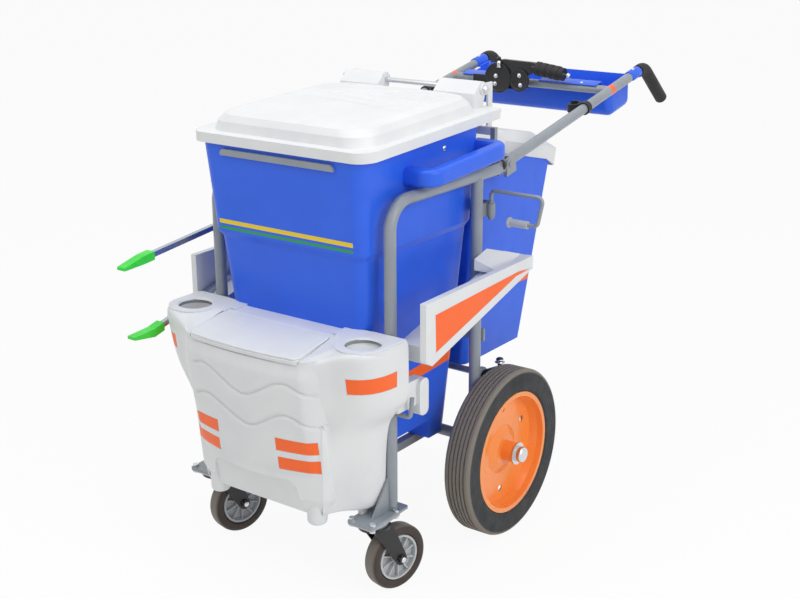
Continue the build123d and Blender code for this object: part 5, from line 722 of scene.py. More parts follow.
@dataclass
class Tray:
    """Moulded tray with rounded corners, a flange over the crossbar and tabs over the tubes."""

    front: float = 545.0
    rear: float = 678.0
    half: float = 222.0
    rim: float = -8.0
    depth: float = 81.0
    lean: float = 11.5
    corner: float = 20.0
    wall: float = 4.0
    tube_x: float = 241.0
    tab_r: float = 15.4
    tab_length: float = 50.0
    flange_front: float = 512.0
    flange_z: float = 11.0
    flange_t: float = 2.6
    flanges: tuple[Pair, ...] = ((-205.0, -88.0), (34.0, 205.0))
    web_drop: float = 6.0
    strap_t: float = 5.0
    tub_edge: float = 0.8
    bar_edge: float = 1.0
    tab_edge: float = 1.5

    def tub(self) -> bpy.types.Object:
        """Model the open tub from a cube with rounded sides and base.

        Returns:
            The tub in the handle's own frame.
        """
        start_clean()
        bpy.ops.mesh.primitive_cube_add(size=1.0)
        tub = bpy.context.active_object
        length = self.rear - self.front
        bpy.ops.object.mode_set(mode="EDIT")
        bpy.ops.mesh.select_all(action="SELECT")
        bpy.ops.transform.resize(value=(2 * self.half * MM, length * MM, self.depth * MM))
        bpy.ops.object.mode_set(mode="OBJECT")
        pick_faces(tub, lambda middle, normal: normal.z < -LEVEL)
        bpy.ops.transform.resize(value=(1.0, 1 - 2 * self.lean / length, 1.0))
        bpy.ops.object.mode_set(mode="OBJECT")
        pick_faces(tub, lambda middle, normal: normal.z > LEVEL)
        bpy.ops.mesh.delete(type="FACE")
        bpy.ops.mesh.select_mode(type="EDGE")
        bpy.ops.mesh.select_all(action="DESELECT")
        bpy.ops.object.mode_set(mode="OBJECT")
        for edge in tub.data.edges:
            ends = [tub.data.vertices[i].co.z for i in edge.vertices]
            edge.select = min(ends) < 0
        bpy.ops.object.mode_set(mode="EDIT")
        bpy.ops.mesh.bevel(offset=self.corner * MM, segments=6, affect="EDGES")
        face_outwards()
        apply_modifier(tub, "SOLIDIFY", thickness=self.wall * MM, offset=-1.0)
        bevel_edges(tub, self.tub_edge * MM)
        tub.location = (0, (self.front + self.rear) / 2 * MM, (self.rim - self.depth / 2) * MM)
        return tub

    def bar(self, low: Triple, high: Triple) -> bpy.types.Object:
        """Model a rounded bar between two corners.

        Args:
            low: Its lower corner in the handle's own frame, in millimetres.
            high: Its upper corner.
        Returns:
            The bar.
        """
        start_clean()
        bpy.ops.mesh.primitive_cube_add(size=1.0)
        bar = bpy.context.active_object
        bpy.ops.object.mode_set(mode="EDIT")
        bpy.ops.transform.resize(value=tuple((h - l) * MM for l, h in zip(low, high)))
        bpy.ops.transform.translate(value=tuple((h + l) / 2 * MM for l, h in zip(low, high)))
        bpy.ops.object.mode_set(mode="OBJECT")
        bevel_edges(bar, self.bar_edge * MM, segments=3)
        return bar

    def tab(self, side: Side) -> bpy.types.Object:
        """Model a tab as the upper part of a round bar over the tube.

        Args:
            side: The tube's side.
        Returns:
            The tab in the handle's own frame.
        """
        start_clean()
        middle = self.rear - self.tab_length / 2
        bpy.ops.mesh.primitive_cylinder_add(
            vertices=40, radius=self.tab_r * MM, depth=self.tab_length * MM, rotation=(math.pi / 2, 0, 0),
            location=(side.value * self.tube_x * MM, middle * MM, 0),
        )
        tab = bpy.context.active_object
        bpy.ops.object.transform_apply(location=True, rotation=True, scale=True)
        bpy.ops.object.mode_set(mode="EDIT")
        bpy.ops.mesh.select_all(action="SELECT")
        level = (0, 0, self.rim * MM)
        bpy.ops.mesh.bisect(plane_co=level, plane_no=(0, 0, 1), clear_inner=True, use_fill=True)
        bpy.ops.object.mode_set(mode="OBJECT")
        bevel_edges(tab, self.tab_edge * MM, segments=3)
        return tab

    def build(self) -> bpy.types.Object:
        """Join tub, flanges, webs and tabs, and put them in place of the plain tray.

        Returns:
            The fitted tray.
        """
        parts = [self.tub()]
        for low, high in self.flanges:
            far = (high, self.front + self.wall, self.flange_z + self.flange_t)
            parts.append(self.bar((low, self.flange_front, self.flange_z), far))
            parts.append(self.bar((low, self.front, self.rim - self.web_drop), far))
        for side in Side:
            inner, outer = sorted((side.value * (self.half - self.wall), side.value * self.tube_x))
            low = (inner, self.rear - self.tab_length, self.rim)
            parts.append(self.bar(low, (outer, self.rear, self.rim + self.strap_t)))
            parts.append(self.tab(side))
        start_clean()
        for part in parts:
            part.select_set(True)
        tray = parts[0]
        bpy.context.view_layer.objects.active = tray
        bpy.ops.object.transform_apply(location=True, rotation=True, scale=True)
        bpy.ops.object.join()
        axes = Matrix((Vector((1, 0, 0)), HANDLE_RUN, HANDLE_UP)).transposed().to_4x4()
        tray.matrix_world = Matrix.Translation(HANDLE_FOOT) @ axes
        settle(tray, "moulded_tray", Body.HANDLE, BLUE_PE, "blue_plastic")
        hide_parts("handle_tray")
        return tray


@dataclass
class CornerShell:
    """Moulded corner of the toolbox, in one sweep from the front into the cup's lobe and down the leg."""

    side: Side
    top_mm: tuple[float, ...] = (572.6, 576, 581.5, 588, 593.5, 596.4, 596.8, 596.8, 596.8, 596.8)
    flat_from: float = 545.0
    flat_to: float = 596.8
    behind: Triple = (120.0, -400.0, 450.0)
    below: Triple = (220.0, -460.0, 400.0)
    cup: Pair = (238.0, -471.0)
    cup_r: float = 40.5
    deck_r: float = 47.0
    deck_wall: float = 1.0
    deck_rise: float = 0.1
    lip: float = 1.6
    lip_drop: float = 4.0
    # Grey ring in the cup's mouth, painted shade for a deeper cup: inner radius, wall and length
    mouth: Triple = (37.8, 1.0, 8.0)
    mouth_drop: float = 7.0
    sections: tuple[tuple[float, tuple[Pair, ...]], ...] = (
        (203.5, (
            (150, -505), (152, -500), (156, -490), (162, -478), (170, -466),
            (182, -455), (190, -443), (196, -428), (198, -411), (198, -396),
        )),
        (204.5, (
            (164, -524), (170, -511), (176, -496.5), (184, -484), (195, -473.5),
            (209, -461.5), (220, -447), (225.5, -430), (227.5, -411), (227.5, -396),
        )),
        (212, (
            (168.5, -528), (171.5, -515.5), (177.5, -499.5), (185.5, -486.5), (197.5, -475.5),
            (211.5, -463.5), (224.5, -448), (231, -430), (233, -411), (233, -396),
        )),
        (240, (
            (171.5, -531), (173, -518), (179, -502), (187, -489), (199, -478),
            (213, -466), (226.5, -449.5), (233.5, -430), (235.5, -411), (235.5, -396),
        )),
        (275, (
            (174.5, -533.5), (181, -524), (186.5, -508), (194, -494), (206, -481),
            (219, -468), (230, -451), (235.5, -431), (237, -412), (237, -396),
        )),
        (345, (
            (178.4, -537.5), (185.5, -527.5), (192, -516), (201, -503), (212, -488),
            (224, -472), (233.5, -453), (238, -433), (239, -413), (239, -396),
        )),
        (392, (
            (181, -540), (188.5, -531), (197, -525), (207.5, -514), (217, -497),
            (228, -477), (237, -457), (241, -434), (244, -413), (245, -396),
        )),
        (415, (
            (182.3, -541.3), (189.5, -533), (200, -531), (212, -525), (225, -511),
            (238, -491), (249, -466), (254, -440), (256, -416), (255, -396),
        )),
        (438, (
            (183.6, -542.6), (190, -537.5), (202, -534), (216, -529), (235, -519),
            (253, -501), (268, -477), (277, -448), (279, -420), (278, -396),
        )),
        (463, (
            (167.3, -563.7), (184.5, -551), (202, -540), (218, -533), (239, -525),
            (262, -511), (282, -487), (294, -457), (298, -425), (298, -396),
        )),
        (500, (
            (168.3, -565.8), (185.5, -557), (203, -545.5), (219, -538), (241, -531.5),
            (266, -519), (286, -496), (297, -464), (299, -428), (298.5, -396),
        )),
        (545, (
            (169.5, -568.2), (186.5, -559.5), (205, -549), (221, -542), (244, -536.5),
            (270, -525), (289, -503), (298.5, -471), (299.5, -432), (298.5, -396),
        )),
        (582, (
            (170.5, -570.2), (187.5, -561), (206, -551.5), (222, -545.5), (246, -541),
            (273, -530), (291.5, -508), (299.5, -476), (299.5, -434), (298.5, -396),
        )),
        (593, (
            (170, -568.5), (186.5, -558.5), (204, -548.5), (221, -542.5), (245, -538),
            (271, -527.5), (289, -506.5), (297, -475), (297, -434), (296, -396),
        )),
        (596.8, (
            (168, -563), (184.5, -553), (202, -543), (219, -536.5), (243, -532),
            (267, -522), (283, -503), (290.5, -474), (290.5, -434), (289.5, -398),
        )),
    )
    lid_edge: tuple[Triple, ...] = (
        (155.0, -398.0, 596.8), (155.0, -440.0, 596.8), (155.0, -470.0, 596.8), (155.0, -500.0, 587.5),
        (155.0, -535.0, 579.6), (156.0, -562.0, 574.6),
    )

    def height(self, z: float, column: int) -> float:
        """Height of a section's point, lowered towards the front corner near the top.

        Args:
            z: Height of the section.
            column: Place of the point in it.
        Returns:
            The point's height in millimetres.
        """
        if z <= self.flat_from:
            return z
        share = (z - self.flat_from) / (self.flat_to - self.flat_from)
        return self.flat_from + share * (self.top_mm[column] - self.flat_from)

    def wall(self) -> bpy.types.Object:
        """Model the swept wall.

        Returns:
            The wall.
        """
        rows = [
            [self.side.place((x, y, self.height(z, column))) for column, (x, y) in enumerate(points)]
            for z, points in self.sections
        ]
        return loft_sheet(rows, self.side.place(self.behind))

    def deck(self) -> bpy.types.Object:
        """Model the top round the cup, from the lid's edge to the rim.

        Returns:
            The deck.
        """
        rim = self.sections[-1][1]
        outer = [*self.lid_edge]
        outer += [(x, y, top + self.deck_rise) for (x, y), top in zip(rim, self.top_mm)]
        outer.append(((rim[-1][0] + self.lid_edge[0][0]) / 2, rim[-1][1], self.flat_to))
        outer.append(outer[0])
        inner = []
        for x, y, _ in outer:
            turn = math.atan2(y - self.cup[1], x - self.cup[0])
            inner.append((math.cos(turn), math.sin(turn)))
        rows = [[self.side.place(point) for point in outer]]
        for radius, z in (
            (self.deck_r, self.flat_to),
            (self.cup_r, self.flat_to),
            (self.cup_r - self.lip, self.flat_to - self.lip_drop),
        ):
            ring = [(self.cup[0] + radius * c, self.cup[1] + radius * s, z) for c, s in inner]
            rows.append([self.side.place(point) for point in ring])
        return loft_sheet(rows, self.side.place(self.below), wall_mm=self.deck_wall)

    def build(self) -> None:
        """Model and fit the wall, the deck and a grey ring in the cup's mouth, painted shade that stands in
        for a deeper cup.
        """
        tag = self.side.tag
        settle(self.wall(), f"toolbox_corner_{tag}", Body.FRAME, BOX_PE, "white_plastic")
        settle(self.deck(), f"toolbox_deck_{tag}", Body.FRAME, BOX_PE, "white_plastic")
        place = self.side.place((*self.cup, self.flat_to - self.mouth_drop))
        # Painted shade: a grey ring inside the cup's mouth darkens it as if the cup were deeper
        Collar(f"cup_shade_ring_{tag}", place, UP, Body.FRAME, *self.mouth, CUP_SHADE_PE, "grey_plastic").build()


def ease(share: float) -> float:
    """Smooth step from zero to one."""
    share = min(1.0, max(0.0, share))
    return share * share * (3 - 2 * share)


def curve_through(points: tuple[Pair, ...], steps: int = 6) -> list[Vector]:
    """Places on a smooth curve through points of a plane.

    Args:
        points: The points in order.
        steps: Places from one point to the next.
    Returns:
        The places in order.
    """
    knots = [Vector(p) for p in (points[0], *points, points[-1])]
    places = []
    for a, b, c, d in zip(knots, knots[1:], knots[2:], knots[3:]):
        for step in range(steps):
            t = step / steps
            bend = (2 * a - 5 * b + 4 * c - d) * t * t + (3 * b - a - 3 * c + d) * t * t * t
            places.append(b + (c - a) * t / 2 + bend / 2)
    return [*places, knots[-1]]


@dataclass
class FrontSheet:
    """Bowed front of the toolbox with two wave grooves, swept into the moulded corners."""

    low: float = 286.0
    high: float = 560.0
    columns: int = 170
    rows: int = 112
    wall: float = 1.2
    behind: Triple = (0.0, -300.0, 430.0)
    flat_x: float = 151.0
    flat_share: float = 0.76
    foot_y: float = -568.0
    lean: float = 20.0
    lean_from: float = 245.0
    lean_to: float = 530.0
    low_sag: float = 25.4
    sag_loss: float = 14.9
    sag_from: float = 300.0
    sag_run: float = 170.0
    proud: float = 5.0
    foot_sink: float = 1.5
    foot_run: float = 40.0
    head_proud: float = 0.4
    head_run: float = 30.0
    tuck: float = 2.0
    groove_depth: float = 5.2
    groove_half: float = 6.4
    groove_search: float = 25.0
    waves: tuple[tuple[Pair, ...], ...] = (
        (
            (-141.4, 510.3), (-127, 515.2), (-110.1, 517.2), (-88.3, 511), (-59.1, 496), (-31, 480.8),
            (-8.7, 472.2), (8.3, 471.8), (25.6, 476.8), (54.4, 492.5), (82.3, 508.7), (100.7, 514.7),
            (118.3, 516), (132.6, 512.1), (155.5, 502.8), (168, 498.2), (179.1, 497.1), (195.1, 500.4),
        ),
        (
            (-140.4, 438.7), (-118.2, 445.8), (-98.4, 444.5), (-68, 433.6), (-39, 419.9),
            (-10.9, 407.1), (5.8, 401.9), (25.6, 404.2), (45.7, 413.9), (74, 431), (93.1, 439.9),
            (108.7, 444.2), (125.8, 442.2), (148.6, 432.9), (163.1, 425.1), (174.6, 422), (189.3, 425),
        ),
    )

    def middle(self, z: float) -> float:
        """Y of the front's middle at a height."""
        rise = (min(z, self.lean_to) - self.lean_from) / (self.lean_to - self.lean_from)
        return self.foot_y - self.lean * rise

    def sag(self, z: float) -> float:
        """How far the front's ends stand behind its middle at a height."""
        return self.low_sag - self.sag_loss * ease((z - self.sag_from) / self.sag_run)

    def stand_off(self, z: float) -> float:
        """How far the sheet stands before the body, which it dips into below and meets under the lid.

        Args:
            z: Height in millimetres.
        Returns:
            The distance in millimetres.
        """
        foot = ease((z - self.low) / self.foot_run)
        head = ease((z - self.high + self.head_run) / self.head_run)
        return (self.proud + self.foot_sink) * foot - self.foot_sink - (self.proud - self.head_proud) * head

    def corner(self, z: float) -> tuple[Vector, float]:
        """Where the sheet dives under the corner shell.

        Args:
            z: Height in millimetres.
        Returns:
            The plan place on the shell, and the shell's slope there.
        """
        sections = CornerShell.sections
        for (z0, lower), (z1, upper) in zip(sections, sections[1:]):
            if z <= z1:
                share = (z - z0) / (z1 - z0)
                a, b, c = (Vector(lower[i]).lerp(Vector(upper[i]), share) for i in (1, 2, 3))
                return b, (c.y - a.y) / (c.x - a.x)
        raise ValueError(f"no section at height {z}")

    def place(self, share: float, z: float) -> Pair:
        """Plan place on the smooth sheet.

        Args:
            share: From minus one at the left edge to one at the right edge.
            z: Height in millimetres.
        Returns:
            X and Y in millimetres.
        """
        side = math.copysign(1.0, share)
        run = abs(share) / self.flat_share
        off = self.stand_off(z)
        if run <= 1:
            return side * run * self.flat_x, self.middle(z) + self.sag(z) * run * run - off
        end, slope = self.corner(z)
        width = end.x - self.flat_x
        t = (abs(share) - self.flat_share) / (1 - self.flat_share)
        start_y = self.middle(z) + self.sag(z) - off
        start_slope = 2 * self.sag(z) / self.flat_x * width
        end_y = end.y + self.tuck
        y = (2 * t**3 - 3 * t**2 + 1) * start_y + (t**3 - 2 * t**2 + t) * start_slope
        y += (3 * t**2 - 2 * t**3) * end_y + (t**3 - t**2) * slope * width
        return side * (self.flat_x + t * width), y

    def groove(self, x: float, z: float, lines: list[list[Vector]]) -> float:
        """Depth of the grooves at a place of the front.

        Args:
            x: Place across the front, in millimetres.
            z: Height in millimetres.
            lines: Middles of the grooves.
        Returns:
            The depth in millimetres.
        """
        here = Vector((x, z))
        nearest = self.groove_half
        for line in lines:
            for a, b in zip(line, line[1:]):
                if abs((a.x + b.x) / 2 - x) < self.groove_search:
                    along = max(0.0, min(1.0, (here - a).dot(b - a) / (b - a).length_squared))
                    nearest = min(nearest, (here - a.lerp(b, along)).length)
        return self.groove_depth * math.cos(nearest / self.groove_half * math.pi / 2) ** 2

    def build(self) -> bpy.types.Object:
        """Model the sheet and fit it.

        Returns:
            The fitted sheet.
        """
        lines = [curve_through(points) for points in self.waves]
        rows = []
        for row in range(self.rows + 1):
            z = self.low + (self.high - self.low) * row / self.rows
            points = []
            for column in range(self.columns + 1):
                x, y = self.place(2 * column / self.columns - 1, z)
                points.append((x, y + self.groove(x, z, lines), z))
            rows.append(points)
        sheet = loft_sheet(rows, self.behind, levels=0, wall_mm=self.wall)
        return settle(sheet, "toolbox_front", Body.FRAME, BOX_PE, "white_plastic")


@dataclass
class LidPanel:
    """Raised panel of the toolbox's lid with a bowed front and rounded edges."""

    half: float = 151.5
    length: float = 123.5
    bow: float = 9.0
    rear_r: float = 12.0
    front_r: float = 14.0
    height: float = 4.5
    rounding: float = 2.2
    foot: Triple = (0.0, -468.3, 591.05)
    fall_deg: float = 8.8
    corner_steps: int = 6

    def front(self, x: float) -> float:
        """Length of the panel at a place across it."""
        return self.length - self.bow * (x / self.half) ** 2

    def outline(self) -> list[Pair]:
        """Outline of the panel in plan.

        Returns:
            Its corners, across the panel and along its fall.
        """
        steps = self.corner_steps
        turns = [math.radians(90 * step / steps) for step in range(steps + 1)]
        rear = []
        for turn in turns:
            x = self.rear_r * (1 - math.cos(turn)) - self.half
            rear.append((x, self.rear_r * (1 - math.sin(turn))))
        rear += [(-x, y) for x, y in reversed(rear)]
        inner = self.half - self.front_r
        front = []
        for turn in turns:
            x = inner + self.front_r * math.cos(turn)
            front.append((x, self.front(inner) + self.front_r * (math.sin(turn) - 1)))
        front += [(x, self.front(x)) for x in (inner * (1 - step / steps) for step in range(1, steps + 1))]
        return rear + front + [(-x, y) for x, y in reversed(front[:-1])]

    def build(self) -> bpy.types.Object:
        """Model the panel from a flat ring of points and fit it.

        Returns:
            The fitted panel.
        """
        corners = self.outline()
        start_clean()
        bpy.ops.mesh.primitive_circle_add(vertices=len(corners), fill_type="NGON")
        panel = bpy.context.active_object
        for vertex, (x, y) in zip(panel.data.vertices, corners):
            vertex.co = (x * MM, -y * MM, 0)
        bpy.ops.object.mode_set(mode="EDIT")
        bpy.ops.mesh.select_all(action="SELECT")
        bpy.ops.mesh.extrude_region_move(TRANSFORM_OT_translate={"value": (0, 0, self.height * MM)})
        face_outwards()
        bevel_edges(panel, self.rounding * MM, segments=4)
        fall = Matrix.Rotation(math.radians(self.fall_deg), 4, "X")
        panel.matrix_world = Matrix.Translation(Vector(self.foot) * MM) @ fall
        return settle(panel, "toolbox_lid_panel", Body.BOX_LID, WHITE_PE, "white_plastic")


@dataclass
class LidBeads:
    """Soft swung beads across the rear of the main lid's raised panel."""

    first_y: float = -205.0
    pitch: float = 38.0
    count: int = 5
    left: float = -125.0
    right: float = 158.0
    swing: float = 26.0
    swing_from: float = -90.0
    swing_run: float = 210.0
    half_width: float = 5.5
    rise: float = 4.2
    sink: float = 0.5
    wall: float = 0.6
    blunt: float = 0.02
    steps: int = 40
    profile: tuple[float, ...] = (-1.0, -0.6, 0.0, 0.6, 1.0)
    look_from: float = 1500.0
    below: Triple = (0.0, -150.0, 900.0)

    def bead(self, number: int) -> list[list[Triple]]:
        """Rows of points across one bead, laid on the lid.

        Args:
            number: Place of the bead from the front.
        Returns:
            The rows from left to right.
        """
        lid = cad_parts["main_lid"]
        rows = []
        for step in range(self.steps + 1):
            share = step / self.steps
            x = self.left + (self.right - self.left) * share
            y = self.first_y + self.pitch * number - self.swing * ease((x - self.swing_from) / self.swing_run)
            height = self.rise * math.sqrt(math.sin(math.pi * min(1 - self.blunt, max(self.blunt, share))))
            row = []
            for across in self.profile:
                beside = y + across * self.half_width
                _, top, _, _ = lid.ray_cast((x * MM, beside * MM, self.look_from * MM), (0, 0, -1))
                level = top.z / MM
                row.append((x, beside, level + height * (1 - across**2) - self.sink * across**2))
            rows.append(row)
        return rows

    def build(self) -> None:
        """Model and fit the beads."""
        bpy.context.view_layer.update()
        for number in range(self.count):
            bead = loft_sheet(self.bead(number), self.below, levels=1, wall_mm=self.wall)
            settle(bead, f"lid_bead_{number}", Body.LID, LID_PE, "white_plastic")


@dataclass
class SubAssembly:
    """Nodes of one sub-assembly with their finishes, and the small pieces added to it."""

    title: str
    finishes: dict[str, Finish]

    def dress(self) -> None:
        """Give each node its material."""
        for node, finish in self.finishes.items():
            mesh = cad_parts[node].data
            mesh.materials.clear()
            mesh.materials.append(finish.material())
            log.info("%s: %s in %s", self.title, node, finish.name)

    def fit(self) -> None:
        """Add small pieces, where the sub-assembly has any."""


def both(stem: str, finish: Finish) -> dict[str, Finish]:
    """One finish for the left and the right node of a pair."""
    return {f"{stem}_left": finish, f"{stem}_right": finish}


@dataclass
class ChassisTubes(SubAssembly):
    """Side hoops, legs, cross tubes, hooks and plates."""

    title: str = "chassis"
    finishes: dict[str, Finish] = field(
        default_factory=lambda: {
            **both("side_hoop", GREY_COAT),
            **both("rear_leg", GREY_COAT),
            **both("caster_plate", GREY_COAT),
            "front_cross_tube": GREY_COAT,
            "rear_cross_tube": GREY_COAT,
            "cradle_bars": GREY_COAT,
            "rear_bin_bars": GREY_COAT,
            "tool_hooks": GREY_COAT,
            "fold_pins": GREY_COAT,
            "rear_bin_hooks": ZINC,
        }
    )
    rail_end: Triple = (241.0, 42.0, 881.0)
    rail_run: Triple = (0.0, 1.0, 0.07)
    collar: Triple = (13.6, 2.2, 9.0)

    def fit(self) -> None:
        """Slip a black collar over each rail's end."""
        for side in Side:
            name, place = f"rail_collar_{side.tag}", side.place(self.rail_end)
            Collar(name, place, self.rail_run, Body.FRAME, *self.collar, BLACK_PA, "black_plastic").build()


@dataclass
class Bins(SubAssembly):
    """Main bin and rear bin with their lids and hinges."""

    title: str = "bins"
    finishes: dict[str, Finish] = field(
        default_factory=lambda: {
            "main_bin": replace(BLUE_PE, name="blue_polyethylene_main_bin", films=(BIN_BAND, *STRIPES)),
            "rear_bin": replace(BLUE_PE, name="blue_polyethylene_rear_bin", films=(REAR_BAND,)),
            "main_lid": LID_PE,
            "rear_lid": WHITE_PE,
            "lid_posts": GREY_COAT,
            "lid_hinge_bar": WHITE_PE,
            "lid_hinge_rod": CHROME,
            "lift_bar": GREY_COAT,
        }
    )
    carry_bolt: Triple = (218.3, -152.0, 950.0)
    carry_out: Triple = (1.0, 0.0, 0.04)

    def fit(self) -> None:
        """Add the lid's beads and bolt the carry bars."""
        LidBeads().build()
        for side in Side:
            place, out = side.place(self.carry_bolt), side.place(self.carry_out)
            Bolt(f"carry_bolt_{side.tag}", place, out, Body.FRAME).build()


@dataclass
class Toolbox(SubAssembly):
    """Front toolbox with cup holders, and the wings behind it."""

    title: str = "toolbox"
    finishes: dict[str, Finish] = field(
        default_factory=lambda: {
            "toolbox": BOX_PE,
            "toolbox_lid": WHITE_PE,
            **both("wing", replace(WHITE_PE, name="white_polyethylene_wing", films=WING_FILMS)),
        }
    )

    def fit(self) -> None:
        """Add the swept front, the lid's panel and the moulded corners."""
        FrontSheet().build()
        LidPanel().build()
        for side in Side:
            CornerShell(side).build()


@dataclass
class Wheels(SubAssembly):
    """Rear wheels, casters and the tyre brake."""

    title: str = "wheels"
    finishes: dict[str, Finish] = field(
        default_factory=lambda: {
            **both("tyre", TYRE),
            **both("wheel_rim", ORANGE_COAT),
            "stub_axles": ZINC,
            "axle_nuts": CHROME,
            "caster_mounts": ZINC,
            "caster_bolts": CHROME,
            **both("caster_fork", BLACK_COAT),
            **both("caster_core", GREY_PA),
            "caster_tyre_left": CASTER_TYRE_LEFT,
            "caster_tyre_right": CASTER_TYRE_RIGHT,
            "brake_shaft": ZINC,
            "brake_arms": BLACK_COAT,
            "brake_shoes": GRIP_RUBBER,
        }
    )
    caster_turn_deg: float = 14.0
    swivel: Triple = (233.0, -434.0, 168.0)
    axle_shift: Triple = (13.79, 55.31, -93.0)
    axle_reach: float = 14.0
    axle_head: Pair = (7.0, 5.0)
    ring: Triple = (31.3, 2.6, 5.0)
    brake_stud: Triple = (247.9, 50.0, 405.0)
    cap_nut: Pair = (9.4, 7.0)

    def fit(self) -> None:
        """Add caster axle bolts, yellow swivel rings and the brake's cap nuts."""
        turn = math.radians(self.caster_turn_deg)
        roll = Vector((math.cos(turn), -math.sin(turn), 0))
        for side, body in ((Side.LEFT, Body.CASTER_LEFT), (Side.RIGHT, Body.CASTER_RIGHT)):
            swivel = side.place(self.swivel)
            axle = Vector(swivel) + Vector(self.axle_shift)
            for end, out in (("outer", roll), ("inner", -roll)):
                place = seat(f"caster_fork_{side.tag}", axle, out, self.axle_reach)
                Bolt(f"caster_bolt_{side.tag}_{end}", place, out, body, *self.axle_head, 6).build()
            name = f"swivel_ring_{side.tag}"
            Collar(name, swivel, UP, body, *self.ring, YELLOW_ZINC, "chrome_steel").build()
            stud = side.place(self.brake_stud)
            Bolt(f"brake_cap_nut_{side.tag}", stud, UP, Body.YOKE, *self.cap_nut).build()


@dataclass
class Handle(SubAssembly):
    """Push handle with grips, tray, clips and the brake lever."""

    title: str = "handle"
    finishes: dict[str, Finish] = field(
        default_factory=lambda: {
            **both("handle_tube", replace(GREY_COAT, name="grey_coated_handle_tube", films=(HANDLE_BAND,))),
            "crossbar": GREY_COAT,
            "grips": GRIP_RUBBER,
            "handle_tray": replace(BLUE_PE, name="blue_polyethylene_tray"),
            "tool_clips": BLACK_PA,
            "saddles": GREY_COAT,
            "brake_base": BLACK_COAT,
            "brake_lever": BLACK_COAT,
            "lever_grip": GRIP_RUBBER,
            "lever_button": CHROME,
        }
    )
    ratchet: Triple = (-74.0, 538.4, 997.0)
    ratchet_disc: Pair = (40.0, 5.0)
    pawl: Triple = (-8.0, 538.4, 995.0)
    pawl_disc: Pair = (30.0, 3.4)
    ratchet_bolts: tuple[Triple, ...] = (
        (-80.0, 534.8, 1001.0), (-82.0, 534.8, 980.0), (-8.0, 536.4, 1007.0), (-4.0, 536.4, 982.0),
    )
    ratchet_head: Pair = (4.6, 3.0)
    cable_stud: Triple = (-68.0, 533.0, 1033.0)
    cable_head: Pair = (5.5, 12.0)
    grip_neck: Triple = (27.0, 549.0, 1030.0)
    grip_end: Triple = (121.0, 549.0, 1019.0)
    grip_rings: int = 4
    grip_ring: Triple = (16.2, 2.6, 13.0)
    ring_pitch: float = 0.2
    screws: tuple[tuple[str, Triple], ...] = (
        ("tab_left", (-241.0, 653.0, 15.2)),
        ("tab_right", (241.0, 653.0, 15.2)),
        ("flange_left", (-105.0, 524.0, 13.4)),
        ("flange_right", (158.0, 524.0, 13.4)),
    )
    screw_head: Pair = (4.5, 2.5)

    def fit(self) -> None:
        """Add the tray, the lever's ratchet plates with their bolts and stud, and the rings of its grip."""
        Tray().build()
        front = Vector((0, -1, 0))
        Disc("ratchet_disc", self.ratchet, front, Body.HANDLE, *self.ratchet_disc).build()
        Disc("pawl_disc", self.pawl, front, Body.HANDLE, *self.pawl_disc).build()
        for number, place in enumerate(self.ratchet_bolts):
            Bolt(f"ratchet_bolt_{number}", place, front, Body.HANDLE, *self.ratchet_head, 6).build()
        Bolt("cable_stud", self.cable_stud, UP, Body.HANDLE, *self.cable_head).build()
        neck, end = Vector(self.grip_neck), Vector(self.grip_end)
        for step in range(self.grip_rings):
            name, place = f"lever_grip_ring_{step}", neck.lerp(end, self.ring_pitch * (step + 1))
            run = end - neck
            Collar(name, place, run, Body.LEVER, *self.grip_ring, GRIP_RUBBER, "grip_rubber").build()
        for name, (x, along, rise) in self.screws:
            place = HANDLE_FOOT / MM + HANDLE_RUN * along + HANDLE_UP * rise + Vector((x, 0, 0))
            Bolt(f"tray_screw_{name}", place, HANDLE_UP, Body.HANDLE, *self.screw_head).build()


@dataclass
class SideTools(SubAssembly):
    """Litter tongs in the left wing and the swing arm on the right leg."""

    title: str = "side tools"
    finishes: dict[str, Finish] = field(
        default_factory=lambda: {
            "tongs_lower_arm": ALUMINIUM,
            "tongs_upper_arm": ALUMINIUM,
            "tongs_lower_jaw": GREEN_PP,
            "tongs_upper_jaw": GREEN_PP,
            "swing_wire": GREY_COAT,
            "swing_sleeve": GREY_PA,
        }
    )


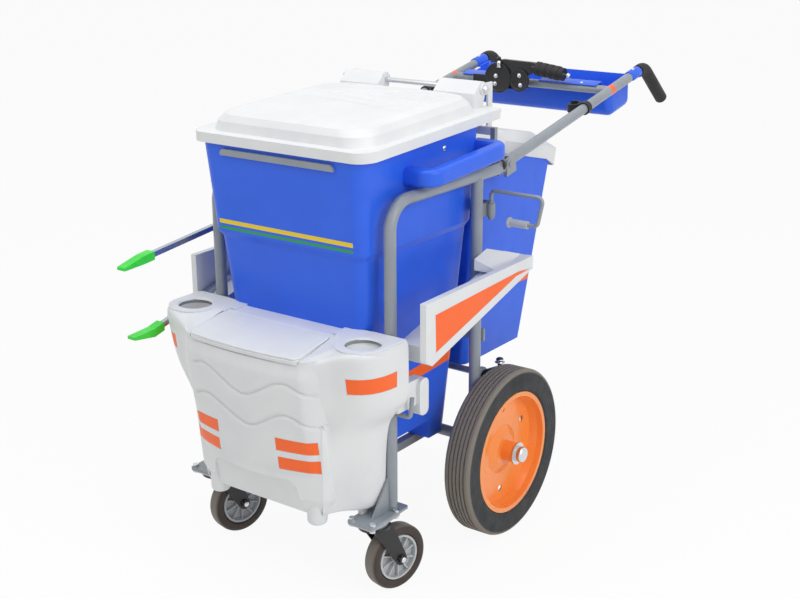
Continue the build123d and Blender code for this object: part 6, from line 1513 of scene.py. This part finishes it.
@dataclass
class Studio:
    """Camera at the photograph's angle, soft lamps, a pale floor and a bright surround."""

    eye: Triple = (1.77897, -2.46249, 1.49976)
    azimuth: float = 36.01
    elevation: float = 17.78
    roll: float = -0.23
    lens: float = 58.69
    sensor: float = 36.0
    ground: str = "#F4F4F2"
    floor_size: float = 80.0
    floor_glow: float = 0.93
    surround: float = 0.43
    aim: Triple = (0.0, 0.0, 0.6)
    lamps: tuple[tuple[str, Triple, float, float], ...] = (
        ("key_lamp", (-1.0, -2.4, 3.4), 2.0, 27.0),
        ("side_lamp", (3.4, -0.8, 2.2), 2.4, 54.0),
        ("top_lamp", (0.0, -0.4, 3.6), 2.6, 36.0),
    )

    def camera(self) -> None:
        """Place the camera."""
        turn, tilt, roll = (math.radians(v) for v in (self.azimuth, self.elevation, self.roll))
        level = math.cos(tilt)
        back = Vector((math.sin(turn) * level, -math.cos(turn) * level, math.sin(tilt)))
        right = Vector((math.cos(turn), math.sin(turn), 0))
        up = back.cross(right)
        cos, sin = math.cos(roll), math.sin(roll)
        right, up = right * cos + up * sin, up * cos - right * sin
        lens = bpy.data.cameras.new("photo_camera")
        lens.lens = self.lens
        lens.sensor_width = self.sensor
        camera = bpy.data.objects.new("photo_camera", lens)
        camera.matrix_world = Matrix.Translation(self.eye) @ Matrix((right, up, back)).transposed().to_4x4()
        bpy.context.scene.collection.objects.link(camera)
        bpy.context.scene.camera = camera

    def lamp(self, name: str, place: Triple, size: float, power: float) -> None:
        """Hang a soft square lamp that looks at the cart's middle.

        Args:
            name: Name of the lamp.
            place: Its middle, in metres.
            size: Length of its side in metres.
            power: Its power in watts.
        """
        light = bpy.data.lights.new(name, "AREA")
        light.size = size
        light.energy = power
        lamp = bpy.data.objects.new(name, light)
        aim = Vector(self.aim) - Vector(place)
        lamp.matrix_world = Matrix.Translation(place) @ aim.to_track_quat("-Z", "Y").to_matrix().to_4x4()
        bpy.context.scene.collection.objects.link(lamp)

    def bright_rays(self, tree: Tree) -> Socket:
        """Tell rays from the camera, mirrors and glass from other light.

        Args:
            tree: Node tree of the material or the world.
        Returns:
            One for those rays and zero for others.
        """
        path = add_node(tree, "ShaderNodeLightPath").outputs
        seen = path["Is Camera Ray"]
        for kind in ("Is Glossy Ray", "Is Transmission Ray"):
            inputs = {0: seen, 1: path[kind]}
            seen = add_node(tree, "ShaderNodeMath", inputs, operation="ADD", use_clamp=True).outputs[0]
        return seen

    def floor(self) -> None:
        """Lay the pale floor, which shows a faint shadow."""
        start_clean()
        bpy.ops.mesh.primitive_plane_add(size=self.floor_size)
        floor = bpy.context.active_object
        floor.name = "studio_floor"
        made = bpy.data.materials.new("pale_studio_paper")
        made.use_nodes = True
        tree = made.node_tree
        tree.nodes.clear()
        paper = add_node(tree, "ShaderNodeBsdfDiffuse", {"Color": linear(self.ground)})
        glow = add_node(tree, "ShaderNodeEmission", {"Color": (1, 1, 1, 1), "Strength": 1.0})
        inputs = {0: self.bright_rays(tree), 1: self.floor_glow}
        share = add_node(tree, "ShaderNodeMath", inputs, operation="MULTIPLY").outputs[0]
        mixed = add_node(tree, "ShaderNodeMixShader", {0: share, 1: paper.outputs[0], 2: glow.outputs[0]})
        add_node(tree, "ShaderNodeOutputMaterial", {"Surface": mixed.outputs[0]})
        floor.data.materials.append(made)

    def world(self) -> None:
        """Surround the scene with even white light."""
        world = bpy.data.worlds.new("white_surround")
        bpy.context.scene.world = world
        world.use_nodes = True
        tree = world.node_tree
        tree.nodes.clear()
        share = self.bright_rays(tree)
        level = add_node(tree, "ShaderNodeMapRange", {0: share, 3: self.surround, 4: 1.0}).outputs[0]
        sky = add_node(tree, "ShaderNodeBackground", {"Color": (1, 1, 1, 1), "Strength": level})
        add_node(tree, "ShaderNodeOutputWorld", {"Surface": sky.outputs[0]})

    def set_up(self) -> None:
        """Build the whole studio."""
        self.camera()
        self.floor()
        self.world()
        for lamp in self.lamps:
            self.lamp(*lamp)
        bpy.context.scene.view_settings.view_transform = "Standard"


def main() -> None:
    """Dress and fit each sub-assembly in order, then set up the studio."""
    logging.basicConfig(level=logging.INFO, format="%(message)s")
    for assembly in (ChassisTubes(), Bins(), Toolbox(), Wheels(), Handle(), SideTools()):
        assembly.dress()
        assembly.fit()
    Studio().set_up()


if __name__ == "__main__":
    main()
